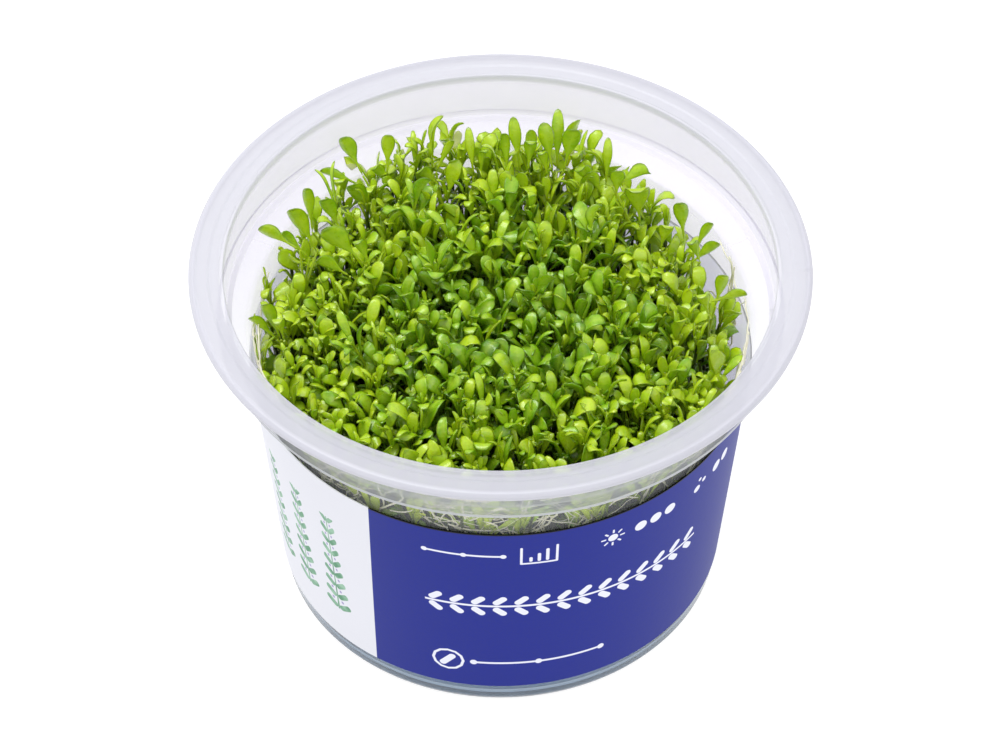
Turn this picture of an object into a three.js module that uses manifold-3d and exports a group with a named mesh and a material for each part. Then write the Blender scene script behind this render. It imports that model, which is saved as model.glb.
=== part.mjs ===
// A mud mat (Glossostigma) plant as it is sold from tissue culture: a clear plastic cup with a wide rim,
// a printed label round its wall, a plug of nutrient gel, roots and stems on the gel, and a mat of small
// spoon-shaped leaves that fills the cup, with taller shoots standing out of the mat.
// Millimetres, +Z up. The origin is the centre of the foot, on the surface that the cup stands on.
// The front of the label faces -Y.
import * as THREE from "three";
import { mergeVertices } from "three/addons/utils/BufferGeometryUtils.js";
import Module from "manifold-3d";

const wasm = await Module();
wasm.setup();

// Driving dimensions of the cup
const RIM_RADIUS = 50.5;
const RIM_TOP = 66.2;
const WALL = 0.8;
const BASE_RADIUS = 36.5; // outside, where the wall's line meets the ground
const TAPER = 0.096; // growth of the wall's radius for each millimetre of height
const SHOULDER_BOTTOM = 53.5;
const SHOULDER_TOP = 56.2;
const COLLAR_RADIUS = 45.6; // outside
const FLANGE_THICKNESS = 0.9;
const LIP_DROP = 1.4; // how far the rim's edge turns down
const FOOT_INNER = 31.5;
const FOOT_OUTER = 35;
const BASE_RECESS = 0.8;

// Label, gel, roots and stems
const GAP = 0.3; // room between pieces that touch
const LABEL_BOTTOM = 4.8;
const LABEL_TOP = 46.8;
const LABEL_THICKNESS = 0.2;
const LABEL_GAP = 0.1;
const LABEL_SEAM = 1.2; // the slit at the back where its two ends nearly meet
const GEL_TOP = 22.6;
const MENISCUS = 1;
const ROOTS_TOP = 27.4;
const STEMS_TOP = 47.5;

// Leaf mat: tips stand on a low dome, and the cushion under them is this much lower
const TIP_CENTRE = 58.6;
const TIP_DROP = 5;
const TIP_REACH = 40;
const TUFT = 3.6;
const TUFT_WIDTH = 4.2;
const TUFT_PLACES = 70;
const TUFT_CLEARANCE = 4; // no small pair stands closer than this to a tall shoot
const SOCKET = 2.2; // how deep a shoot's stem goes into the mat

const CUP_SIDES = 44;
const MAT_SIDES = 32;

// Shoots that stand above the mat: the foot (x, y), where the top pair of leaves ends (tipX, tipY, tip),
// the direction of that pair in degrees, the leaf's length and width, and the number of leaf pairs.
const SHOOTS = [
  { x: -20.5, y: 28.5, tipX: -22, tipY: 32.4, tip: 63.6, turn: 5, leaf: 7, width: 3.4, pairs: 2 },
  { x: -10.5, y: 32, tipX: -11.4, tipY: 35.8, tip: 64.6, turn: 70, leaf: 6.6, width: 2.8, pairs: 2 },
  { x: -4.8, y: 31, tipX: -5.2, tipY: 34.6, tip: 63, turn: 140, leaf: 4.6, width: 2, pairs: 2 },
  { x: 2, y: 32, tipX: 2.2, tipY: 35.6, tip: 64, turn: 20, leaf: 5.4, width: 2.6, pairs: 2 },
  { x: 9, y: 32, tipX: 9.4, tipY: 35.8, tip: 65, turn: 0, leaf: 6, width: 3.6, pairs: 2 },
  { x: 17, y: 29, tipX: 17.7, tipY: 32, tip: 62.6, turn: 100, leaf: 5, width: 2, pairs: 2 },
  { x: 22, y: 24, tipX: 23, tipY: 26.6, tip: 61.4, turn: 15, leaf: 7, width: 4.2, pairs: 2 },
  { x: 27, y: 18.6, tipX: 29, tipY: 20.6, tip: 60.6, turn: 150, leaf: 6, width: 3.8, pairs: 2 },
  { x: 31.6, y: 13, tipX: 34, tipY: 14.6, tip: 60.4, turn: 25, leaf: 5.6, width: 2.4, pairs: 2 },
  { x: 34, y: 1, tipX: 37.6, tipY: 1.4, tip: 58.6, turn: 0, leaf: 5.6, width: 2.8, pairs: 2 },
  { x: -29, y: 19.6, tipX: -31.6, tipY: 21.8, tip: 63.4, turn: 85, leaf: 6, width: 2.5, pairs: 2 },
  { x: -32.6, y: 11, tipX: -36, tipY: 14, tip: 62.2, turn: 10, leaf: 6.4, width: 3.2, pairs: 2 },
  { x: -35.2, y: -1, tipX: -39, tipY: -2, tip: 58.4, turn: 170, leaf: 5.2, width: 2.6, pairs: 2 },
  { x: -25, y: 9.6, tipX: -27, tipY: 12, tip: 62, turn: 150, leaf: 7.4, width: 4, pairs: 2 },
  { x: -14, y: 21, tipX: -14.4, tipY: 23.4, tip: 62.4, turn: 40, leaf: 6, width: 3.2, pairs: 2 },
  { x: 1, y: 21, tipX: 1.2, tipY: 23, tip: 62.2, turn: 10, leaf: 5.8, width: 3, pairs: 2 },
  { x: 13.6, y: 15, tipX: 14.4, tipY: 17, tip: 61.8, turn: 70, leaf: 6.2, width: 3.3, pairs: 2 },
  { x: -10, y: 7, tipX: -10.6, tipY: 8.6, tip: 62, turn: 100, leaf: 6, width: 3.4, pairs: 2 },
  { x: 5, y: 3, tipX: 5.4, tipY: 4, tip: 61.8, turn: 45, leaf: 5.8, width: 3, pairs: 2 },
  { x: 22, y: -3, tipX: 23.4, tipY: -3, tip: 60.6, turn: 80, leaf: 6, width: 3.2, pairs: 2 },
  { x: -22, y: -7, tipX: -23.6, tipY: -7, tip: 60.4, turn: 20, leaf: 6, width: 3.3, pairs: 2 },
  { x: 2.4, y: -14, tipX: 2.6, tipY: -14, tip: 60.6, turn: 160, leaf: 5.6, width: 3, pairs: 2 },
];

const material = (name, color, roughness, more = {}) =>
  new THREE.MeshStandardMaterial({ name, color, roughness, metalness: 0, ...more });
const polypropylene = material("polypropylene", 0xe4e4ee, 0.35, { transparent: true, opacity: 0.5 });
const labelFilm = material("label_film", 0x3b45a0, 0.4);
const gelBody = material("nutrient_gel", 0xc9ccc0, 0.15, { transparent: true, opacity: 0.6 });
const rootWhite = material("root", 0xe2e0c4, 0.6);
const stemGreen = material("stem", 0xa5bd4a, 0.5);
const leafGreen = material("leaf", 0x6c9c14, 0.4);

const wallOuter = (z) => BASE_RADIUS + TAPER * z;
const wallInner = (z) => wallOuter(z) - WALL;
const tipHeight = (r) => TIP_CENTRE - TIP_DROP * (r / TIP_REACH) ** 2;

// A closed body of revolution about Z, from [radius, height] points that run upwards on the outside.
function lathe(points, sides = CUP_SIDES) {
  const outline = points.map(([r, z]) => new THREE.Vector2(r, z));
  return new THREE.LatheGeometry(outline, sides).rotateX(Math.PI / 2);
}

// The geometry as a solid that can be joined and cut.
function solid(geometry) {
  const bare = geometry.clone();
  bare.deleteAttribute("normal");
  bare.deleteAttribute("uv");
  const merged = mergeVertices(bare, 1e-4);
  return new wasm.Manifold(
    new wasm.Mesh({
      numProp: 3,
      vertProperties: new Float32Array(merged.attributes.position.array),
      triVerts: new Uint32Array(merged.index.array),
    }),
  );
}

// The solid as a geometry again.
function geometryOf(body) {
  const mesh = body.getMesh();
  return new THREE.BufferGeometry()
    .setAttribute("position", new THREE.BufferAttribute(mesh.vertProperties, 3))
    .setIndex(new THREE.BufferAttribute(mesh.triVerts, 1));
}

// Moves every vertex of a geometry by a function of its place.
function reshape(geometry, move) {
  const position = geometry.attributes.position;
  const point = new THREE.Vector3();
  for (let i = 0; i < position.count; i++) {
    point.fromBufferAttribute(position, i);
    move(point);
    position.setXYZ(i, point.x, point.y, point.z);
  }
  return geometry;
}

function cup() {
  const collarInner = COLLAR_RADIUS - WALL;
  const under = RIM_TOP - FLANGE_THICKNESS;
  const floor = BASE_RECESS + WALL;
  const corner = 1.5;
  const bead = 0.7; // how far the ring at the shoulder stands out from the collar
  return lathe([
    [0, BASE_RECESS],
    [FOOT_INNER - BASE_RECESS, BASE_RECESS],
    [FOOT_INNER, 0],
    [FOOT_OUTER, 0],
    [wallOuter(corner), corner],
    [wallOuter(SHOULDER_BOTTOM), SHOULDER_BOTTOM],
    [COLLAR_RADIUS + 0.6 * bead, SHOULDER_TOP],
    [COLLAR_RADIUS + bead, SHOULDER_TOP + 0.4],
    [COLLAR_RADIUS, SHOULDER_TOP + 1.2],
    [COLLAR_RADIUS, under],
    [RIM_RADIUS - 0.7, under],
    [RIM_RADIUS - 0.6, RIM_TOP - LIP_DROP],
    [RIM_RADIUS, RIM_TOP - LIP_DROP],
    [RIM_RADIUS, RIM_TOP - 0.9],
    [RIM_RADIUS - 0.4, RIM_TOP - 0.3],
    [RIM_RADIUS - 1.3, RIM_TOP],
    [collarInner + 0.5, RIM_TOP],
    [collarInner, RIM_TOP - 0.5],
    [collarInner, SHOULDER_TOP + 1],
    [wallInner(SHOULDER_BOTTOM), SHOULDER_BOTTOM + 0.5],
    [wallInner(floor + corner), floor + corner],
    [wallInner(floor) - corner, floor],
    [0, floor],
  ]);
}

// A band on the wall with a slit at the back, where the ends of the strip nearly meet.
function label() {
  const inside = (z) => wallOuter(z) + LABEL_GAP;
  const outside = (z) => inside(z) + LABEL_THICKNESS;
  const band = lathe([
    [inside(LABEL_BOTTOM), LABEL_BOTTOM],
    [outside(LABEL_BOTTOM), LABEL_BOTTOM],
    [outside(LABEL_TOP), LABEL_TOP],
    [inside(LABEL_TOP), LABEL_TOP],
    [inside(LABEL_BOTTOM), LABEL_BOTTOM],
  ]);
  const slit = new THREE.BoxGeometry(LABEL_SEAM, 20, 2 * LABEL_TOP).translate(0, wallOuter(LABEL_TOP), LABEL_TOP / 2);
  return geometryOf(solid(band).subtract(solid(slit)));
}

// The gel plug: it follows the cup's floor and wall, and creeps a little up the wall.
function nutrientGel() {
  const bottom = BASE_RECESS + WALL + GAP;
  const corner = 1.5;
  const radius = (z) => wallInner(z) - GAP;
  return lathe([
    [0, bottom],
    [radius(bottom) - corner, bottom],
    [radius(bottom + corner), bottom + corner],
    [radius(GEL_TOP + MENISCUS), GEL_TOP + MENISCUS],
    [radius(GEL_TOP) - 1.2, GEL_TOP + 0.2],
    [0, GEL_TOP],
  ]);
}

// The felt of white roots that lies on the gel, thicker in some places than in others.
function rootTangle() {
  const bottom = GEL_TOP + MENISCUS + GAP;
  const radius = (z) => wallInner(z) - 2 * GAP;
  const felt = lathe(
    [
      [0, bottom],
      [radius(bottom), bottom],
      [radius(ROOTS_TOP - 1), ROOTS_TOP - 1],
      [radius(ROOTS_TOP) - 2, ROOTS_TOP - 0.4],
      [20, ROOTS_TOP - 0.4],
      [0, ROOTS_TOP - 0.4],
    ],
    MAT_SIDES,
  );
  return reshape(felt, (p) => {
    if (p.z > ROOTS_TOP - 0.6 && Math.hypot(p.x, p.y) > 1) p.z += 0.4 * Math.sin(0.5 * p.x + 1) * Math.cos(0.4 * p.y);
  });
}

// The upright stems below the leaves, as one fluted column.
function stemThicket() {
  const bottom = ROOTS_TOP + GAP;
  const flute = 1.1;
  const column = new THREE.CylinderGeometry(1, 1, STEMS_TOP - bottom, 2 * MAT_SIDES, 1);
  column.rotateX(Math.PI / 2).translate(0, 0, (STEMS_TOP + bottom) / 2);
  return reshape(column, (p) => {
    const turn = Math.atan2(p.y, p.x);
    const groove = flute * (Math.round((turn / Math.PI) * MAT_SIDES) & 1);
    const radius = Math.hypot(p.x, p.y) < 0.5 ? 0 : wallInner(p.z) - 2 * GAP - groove;
    p.x = radius * Math.cos(turn);
    p.y = radius * Math.sin(turn);
  });
}

// One spoon-shaped leaf as a closed loft of four-sided rings, standing on the origin and leaning to +X.
// rings holds [share of the length, share of the width]; lean is the angle from upright, in radians,
// which grows by bend from the foot of the leaf to its tip. room makes every side that much thicker.
const LEAF_RINGS = [[0, 0], [0.34, 0.2], [0.66, 1], [0.88, 0.84], [1, 0]];
const TUFT_RINGS = [[0, 0], [0.66, 1], [1, 0]];
function leaf(length, width, lean, bend, rings = LEAF_RINGS, room = 0) {
  const rows = rings.length - 1;
  const thickness = 0.6;
  const body = new THREE.SphereGeometry(1, 4, rows);
  return reshape(body, (p) => {
    const row = Math.round((Math.acos(THREE.MathUtils.clamp(-p.y, -1, 1)) / Math.PI) * rows);
    const [along, across] = rings[row];
    const girth = Math.max(Math.hypot(p.x, p.z), 1e-6);
    const side = row === 0 || row === rows ? 0 : (p.x / girth) * (0.5 * width * across + room);
    const face = row === 0 || row === rows ? 0 : (p.z / girth) * (0.5 * thickness + room);
    const reach = along * length + (row === rows ? room : 0);
    const angle = lean + 0.5 * bend * along;
    const normal = lean + bend * along;
    p.set(
      reach * Math.sin(angle) + face * Math.cos(normal),
      side,
      reach * Math.cos(angle) - face * Math.sin(normal),
    );
  });
}

// A shoot: a leaning stem with pairs of opposite leaves, each pair turned a quarter from the next.
function shoot(plan, room = 0) {
  const foot = tipHeight(Math.hypot(plan.x, plan.y)) - TUFT - SOCKET;
  const stemTop = plan.tip - 0.86 * plan.leaf;
  const stemAt = (share) =>
    new THREE.Vector3(plan.x, plan.y, foot).lerp(new THREE.Vector3(plan.tipX, plan.tipY, stemTop), share);
  const girth = 0.5 + room;
  const stem = new THREE.CylinderGeometry(girth, girth, 1, 4, 1).rotateX(Math.PI / 2).translate(0, 0, 0.5);
  reshape(stem, (p) => {
    const centre = stemAt(p.z);
    p.set(centre.x + p.x, centre.y + p.y, centre.z + (p.z < 0.5 ? -room : room));
  });
  let body = solid(stem);
  for (let pair = 0; pair < plan.pairs; pair++) {
    const share = 1 - 0.03 - pair * 0.24;
    const size = 1 - 0.12 * pair;
    const lean = THREE.MathUtils.degToRad(12 + 22 * pair);
    const bend = THREE.MathUtils.degToRad(40);
    for (const side of [0, 180]) {
      const turn = THREE.MathUtils.degToRad(plan.turn + 90 * pair + side);
      const blade = leaf(size * plan.leaf, size * plan.width, lean, bend, LEAF_RINGS, room).rotateZ(turn);
      const node = stemAt(share);
      body = body.add(solid(blade.translate(node.x, node.y, node.z)));
    }
  }
  return body;
}

// The mat: a low cushion from wall to wall, roughened like the tops of leaves, with small pairs of leaves
// grown out of it wherever no tall shoot stands.
function leafMat() {
  const bottom = STEMS_TOP + GAP;
  const edge = (z) => wallInner(z) - 2 * GAP;
  const top = (r) => tipHeight(r) - TUFT;
  const sideRings = [bottom, 49.6].map((z) => [edge(z), z]);
  const topRings = [37.5, 33, 28.5, 24, 19, 14, 9, 4, 0].map((r) => [r, top(r)]);
  const cushion = lathe([[0, bottom], ...sideRings, ...topRings], MAT_SIDES);
  reshape(cushion, (p) => {
    const r = Math.hypot(p.x, p.y);
    const roughness = Math.min(1.3, 0.08 * r);
    if (p.z > 50 && r > 1) p.z += roughness * Math.sin(2.1 * p.x + 1.3 * p.y) * Math.sin(1.7 * p.x - 2.3 * p.y + 1);
  });
  let body = solid(cushion);
  const golden = Math.PI * (3 - Math.sqrt(5));
  const sunk = 1.2;
  const clear = (x, y) => SHOOTS.every((plan) => Math.hypot(plan.x - x, plan.y - y) > TUFT_CLEARANCE);
  for (let i = 0; i < TUFT_PLACES; i++) {
    const r = 37 * Math.sqrt((i + 0.5) / TUFT_PLACES);
    const x = r * Math.cos(i * golden);
    const y = r * Math.sin(i * golden);
    if (!clear(x, y)) continue;
    for (const side of [0, Math.PI]) {
      const blade = leaf(TUFT + 2 * sunk, TUFT_WIDTH, 0.35, 0.6, TUFT_RINGS).rotateZ(1.9 * i + side);
      body = body.add(solid(blade.translate(x, y, top(r) - sunk)));
    }
  }
  for (const plan of SHOOTS) body = body.subtract(shoot(plan, GAP));
  const largest = body.decompose().sort((a, b) => b.volume() - a.volume())[0];
  return geometryOf(largest);
}

const plant = new THREE.Group();
function add(name, geometry, finish) {
  const mesh = new THREE.Mesh(geometry, finish);
  mesh.name = name;
  plant.add(mesh);
}

add("cup", cup(), polypropylene);
add("label", label(), labelFilm);
add("nutrient_gel", nutrientGel(), gelBody);
add("root_tangle", rootTangle(), rootWhite);
add("stem_thicket", stemThicket(), stemGreen);
add("leaf_mat", leafMat(), leafGreen);
SHOOTS.forEach((plan, i) => {
  add(`shoot_${String(i + 1).padStart(2, "0")}`, geometryOf(shoot(plan)), leafGreen);
});

export default plant;
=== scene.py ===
"""A mud mat plant in its tissue culture cup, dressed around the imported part.

The cup is milky natural plastic with a printed label. It holds a plug of gel, fine roots, bare stems and a
low dome of small spoon-shaped leaves. Lengths are millimetres in the part's own frame: +Z up, the origin at
the centre of the foot, the front of the label towards -Y. Meshes are turned to metres when they are finished.
"""

import logging
import math
from dataclasses import dataclass, field
from enum import Enum
from typing import Callable, Iterable, Sequence

import bmesh
import bpy
import numpy as np
from mathutils import Matrix, Vector


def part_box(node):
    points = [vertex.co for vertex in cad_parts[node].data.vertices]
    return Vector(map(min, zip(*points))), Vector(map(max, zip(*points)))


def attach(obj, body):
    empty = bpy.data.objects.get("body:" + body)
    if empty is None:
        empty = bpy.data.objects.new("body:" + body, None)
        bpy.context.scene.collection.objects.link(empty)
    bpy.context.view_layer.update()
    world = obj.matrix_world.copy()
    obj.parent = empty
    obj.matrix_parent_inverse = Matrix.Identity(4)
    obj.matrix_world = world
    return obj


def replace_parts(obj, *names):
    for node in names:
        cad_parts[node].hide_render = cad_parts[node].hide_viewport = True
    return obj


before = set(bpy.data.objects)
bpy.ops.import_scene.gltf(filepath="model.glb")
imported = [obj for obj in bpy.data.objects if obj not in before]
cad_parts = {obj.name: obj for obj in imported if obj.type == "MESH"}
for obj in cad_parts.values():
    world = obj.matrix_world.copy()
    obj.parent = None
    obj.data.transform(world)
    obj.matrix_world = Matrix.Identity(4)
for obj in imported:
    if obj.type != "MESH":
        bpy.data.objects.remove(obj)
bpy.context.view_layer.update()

log = logging.getLogger("mud_mat_plant")

MM = 0.001  # metres in a millimetre
SAME = 1e-4  # points nearer than this, in millimetres, are one
TINY = 1e-6  # keeps a division from zero
BODY = "root"

Socket = bpy.types.NodeSocket


class Slot(Enum):
    """The record's material slots."""

    CUP = "cup"
    LABEL = "label"
    GEL = "gel"
    ROOTS = "roots"
    STEMS = "stems"
    LEAVES = "leaves"


def linear(code: str) -> tuple[float, float, float, float]:
    """Turns an sRGB hex colour into linear RGBA.

    Args:
        code: The colour as "#rrggbb".

    Returns:
        Red, green, blue and an alpha of 1.
    """
    channels = [int(code[i : i + 2], 16) / 255 for i in (1, 3, 5)]
    curve = [c / 12.92 if c <= 0.04045 else ((c + 0.055) / 1.055) ** 2.4 for c in channels]
    return (*curve, 1.0)


def cad_size(node_name: str) -> Vector:
    """Returns the size of a CAD node's box, in millimetres."""
    low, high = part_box(node_name)
    return (high - low) / MM


# Materials


class Brush:
    """Adds nodes to one material.

    Attributes:
        tree: The material's node tree.
        place: The point on the piece, in millimetres.
    """

    def __init__(self, tree: bpy.types.NodeTree) -> None:
        """Takes the tree and adds the place in millimetres.

        Args:
            tree: The material's node tree.
        """
        self.tree = tree
        where = self.add("TexCoord", output="Object")
        self.place = self.add("VectorMath", where, named={"Scale": 1 / MM}, operation="SCALE")

    def add(
        self,
        kind: str,
        *values: float | str | Sequence[float] | Socket,
        named: dict | None = None,
        output: int | str = 0,
        **settings: str | bool,
    ) -> Socket:
        """Adds one node.

        Args:
            kind: The node's type, without the word ShaderNode.
            *values: Its first inputs in order, each a number, vector, hex colour or socket to link.
            named: Other inputs by name or index.
            output: The output to return, by name or index.
            **settings: The node's own properties, such as operation.

        Returns:
            The node's output socket.
        """
        made = self.tree.nodes.new(f"ShaderNode{kind}")
        for key, value in settings.items():
            setattr(made, key, value)
        for key, value in (dict(enumerate(values)) | (named or {})).items():
            if isinstance(value, Socket):
                self.tree.links.new(value, made.inputs[key])
            else:
                made.inputs[key].default_value = linear(value) if isinstance(value, str) else value
        return made.outputs[output]

    def drive(self, shader: bpy.types.Node, **sockets: Socket) -> None:
        """Links sockets to the shader's inputs, whose names are given with _ for each space."""
        for name, socket in sockets.items():
            self.tree.links.new(socket, shader.inputs[name.replace("_", " ")])


@dataclass(frozen=True)
class Finish:
    """A surface: one Principled shader, with patterns that a subclass paints.

    Attributes:
        name: The material's name.
        colour: The base colour as an sRGB hex value.
        roughness: The base roughness.
        ior: The index of refraction.
    """

    name: str
    colour: str
    roughness: float = 0.5
    ior: float = 1.45

    def material(self) -> bpy.types.Material:
        """Builds the material.

        Returns:
            The material. Its glow, if it has one, is seen but isn't sampled as a lamp.
        """
        made = bpy.data.materials.new(self.name)
        made.use_nodes = True
        made.diffuse_color = linear(self.colour)
        made.cycles.emission_sampling = "NONE"
        shader = made.node_tree.nodes["Principled BSDF"]
        shader.inputs["Base Color"].default_value = linear(self.colour)
        shader.inputs["Roughness"].default_value = self.roughness
        shader.inputs["IOR"].default_value = self.ior
        self.paint(Brush(made.node_tree), shader)
        return made

    def paint(self, brush: Brush, shader: bpy.types.Node) -> None:
        """Adds the finish's own patterns and values; the plain finish has none."""


@dataclass(frozen=True)
class NaturalPolypropylene(Finish):
    """Injection moulded natural polypropylene: a thin, milky sheet that lets most of the light through.

    A share of each surface is milk, which spreads light evenly, and the rest lets it go straight on. The
    wall is polished in the mould, so roots that touch it show sharply. The collar is hazier, the bead and
    the thick rim are nearly white, and the thick foot is clear and grey, like the gel behind it. The back
    half is painted paler and hazier than the front: painted light, for the light that comes through it from
    behind.

    Attributes:
        polished_to: The height up to which the wall is polished.
        satin_from: The height from which the sheet has a fine satin texture.
        hazy_from: The height from which the sheet is hazy.
        bead: The height of the thicker, milkier bead, and half of its breadth.
        foot_to: The height up to which the thick foot looks grey.
        rim_from: The height from which the plastic is thick.
        step: The radius of the step on the rim.
        lip: The radius where the rim's edge turns down.
        backlit_span: How far back the painted backlight starts, and how far back it is full.
        wall_milk: The wall's share of milk at the front and at the back.
        collar_milk: The collar's.
        bead_milk: The bead's.
        rim_milk: The rim's, inside the step and outside it.
        lip_milk: The turned-down edge's.
        foot_clearness: How much light goes through the foot.
        polish: The roughness of the polished wall.
        wander: How far the roughness strays from its mean.
        flow_mark: The size of the patches that it does so in, which the flow in the mould leaves.
        rim_colour: The colour of the rim, which is thicker.
        foot_colour: The colour of the thick foot.
        painted_backlight_colour: The paler colour painted on the back half, for the light that comes through
            it.
    """

    polished_to: float = 51.8
    satin_from: float = 53.2
    hazy_from: float = 56.2
    bead: tuple[float, float] = (56.7, 0.3)
    foot_to: float = 4.2
    rim_from: float = 64.4
    step: float = 47.3
    lip: float = 49.5
    backlit_span: tuple[float, float] = (-32, 18)
    wall_milk: tuple[float, float] = (0.12, 0.29)
    collar_milk: tuple[float, float] = (0.43, 0.31)
    bead_milk: tuple[float, float] = (0.95, 0.4)
    rim_milk: tuple[float, float] = (0.6, 0.62)
    lip_milk: float = 0.86
    foot_clearness: float = 0.975
    polish: float = 0.12
    wander: float = 0.045
    flow_mark: float = 9.0
    rim_colour: str = "#d3d3db"
    foot_colour: str = "#96aabf"
    painted_backlight_colour: str = "#e7dffa"

    def paint(self, brush: Brush, shader: bpy.types.Node) -> None:
        """Adds the polish, the milk and the clearness by height, radius and depth, an uneven gloss, and
        painted light on the back half.

        Args:
            brush: The material's brush.
            shader: Its Principled shader.
        """
        add = brush.add
        back = add("SeparateXYZ", brush.place, output="Y")
        height = add("SeparateXYZ", brush.place, output="Z")
        level = add("VectorMath", brush.place, (1, 1, 0), operation="MULTIPLY")
        radius = add("VectorMath", level, output="Value", operation="LENGTH")
        satiny = add("MapRange", height, self.polished_to, self.satin_from, 0, 1)
        beaded = add("Math", height, *self.bead, operation="COMPARE")
        thick = add("MapRange", height, self.rim_from, self.rim_from + 0.8, 0, 1)
        foot = add("MapRange", height, self.foot_to, self.foot_to + 0.5, 1, 0)
        # Painted light: towards the back the sheet is painted paler and lavender, and its milk changes, for
        # the light that comes through it from behind.
        backlit_share = add("MapRange", back, *self.backlit_span, 0, 1)
        flow = add("TexNoise", named={"Vector": brush.place, "Scale": 1 / self.flow_mark})
        astray = add("MapRange", flow, 0, 1, -self.wander, self.wander)
        satin = add("MapRange", satiny, 0, 1, self.polish, self.roughness)
        rough = add("Math", satin, astray, operation="ADD", use_clamp=True)
        wall = add("MapRange", backlit_share, 0, 1, *self.wall_milk)
        collar = add("MapRange", backlit_share, 0, 1, *self.collar_milk)
        bead = add("MapRange", backlit_share, 0, 1, *self.bead_milk)
        flat = add("MapRange", radius, self.step - 0.2, self.step + 0.3, *self.rim_milk)
        rim = add("MapRange", radius, self.lip - 0.3, self.lip + 0.3, flat, self.lip_milk)
        milk = add("MapRange", foot, 0, 1, wall, 1.0)
        milk = add("MapRange", height, self.hazy_from, self.hazy_from + 1.0, milk, collar)
        milk = add("MapRange", beaded, 0, 1, milk, bead)
        milk = add("MapRange", thick, 0, 1, milk, rim)
        clear = add("MapRange", foot, 0, 1, 0, self.foot_clearness)
        colour = self.colour
        for share, over in ((backlit_share, self.painted_backlight_colour), (thick, self.rim_colour), (foot, self.foot_colour)):
            colour = add("Mix", share, named={6: colour, 7: over}, output=2, data_type="RGBA")
        brush.drive(shader, Base_Color=colour, Roughness=rough, Transmission_Weight=clear, Alpha=milk)


@dataclass(frozen=True)
class NutrientJelly(Finish):
    """Agar gel: cloudy and blue-grey with uneven lumps, and a wet gloss.

    Attributes:
        cloud: The colour of the darker lumps.
        lump: Their size.
        clearness: How much light goes through the gel.
    """

    cloud: str = "#587388"
    lump: float = 6.0
    clearness: float = 0.15

    def paint(self, brush: Brush, shader: bpy.types.Node) -> None:
        """Adds the gel's clearness and its uneven cloud.

        Args:
            brush: The material's brush.
            shader: Its Principled shader.
        """
        shader.inputs["Transmission Weight"].default_value = self.clearness
        lumps = brush.add("TexNoise", named={"Vector": brush.place, "Scale": 1 / self.lump})
        share = brush.add("MapRange", lumps, 0.35, 0.65, 0, 1)
        colour = brush.add("Mix", share, named={6: self.colour, 7: self.cloud}, output=2, data_type="RGBA")
        brush.drive(shader, Base_Color=colour)


@dataclass(frozen=True)
class LivingStrand(Finish):
    """A root or a bare stem: smooth, wet and slightly see-through, and brighter where it gets light.

    Attributes:
        lit_colour: The colour at the top of the strand.
        dark_below: The height under which the strand keeps its base colour.
        lit_above: The height over which it has the lit colour.
        patch: The size of the patches that shift those heights.
        shift: How far they shift them.
        knot: The size of the small knots along the strand.
        knot_height: How far those stand out.
        glow_through: How much light spreads inside the strand.
    """

    lit_colour: str = "#5a8410"
    dark_below: float = 34.0
    lit_above: float = 48.0
    patch: float = 3.0
    shift: float = 6.0
    knot: float = 0.4
    knot_height: float = 0.03
    glow_through: float = 0.3

    def paint(self, brush: Brush, shader: bpy.types.Node) -> None:
        """Blends the colours by height, with patches, and lets some light through.

        Args:
            brush: The material's brush.
            shader: Its Principled shader.
        """
        add = brush.add
        height = add("SeparateXYZ", brush.place, output="Z")
        patches = add("TexNoise", named={"Vector": brush.place, "Scale": 1 / self.patch})
        shift = add("MapRange", patches, 0.3, 0.7, -self.shift, self.shift)
        shifted = add("Math", height, shift, operation="ADD")
        lit = add("MapRange", shifted, self.dark_below, self.lit_above, 0, 1)
        colour = add("Mix", lit, named={6: self.colour, 7: self.lit_colour}, output=2, data_type="RGBA")
        knots = add("TexNoise", named={"Vector": brush.place, "Scale": 1 / self.knot})
        relief = add("Bump", named={"Height": knots, "Distance": self.knot_height * MM})
        brush.drive(shader, Base_Color=colour, Normal=relief)
        shader.inputs["Subsurface Weight"].default_value = self.glow_through
        shader.inputs["Subsurface Radius"].default_value = (1.0, 0.9, 0.4)
        shader.inputs["Subsurface Scale"].default_value = 0.8 * MM


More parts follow.
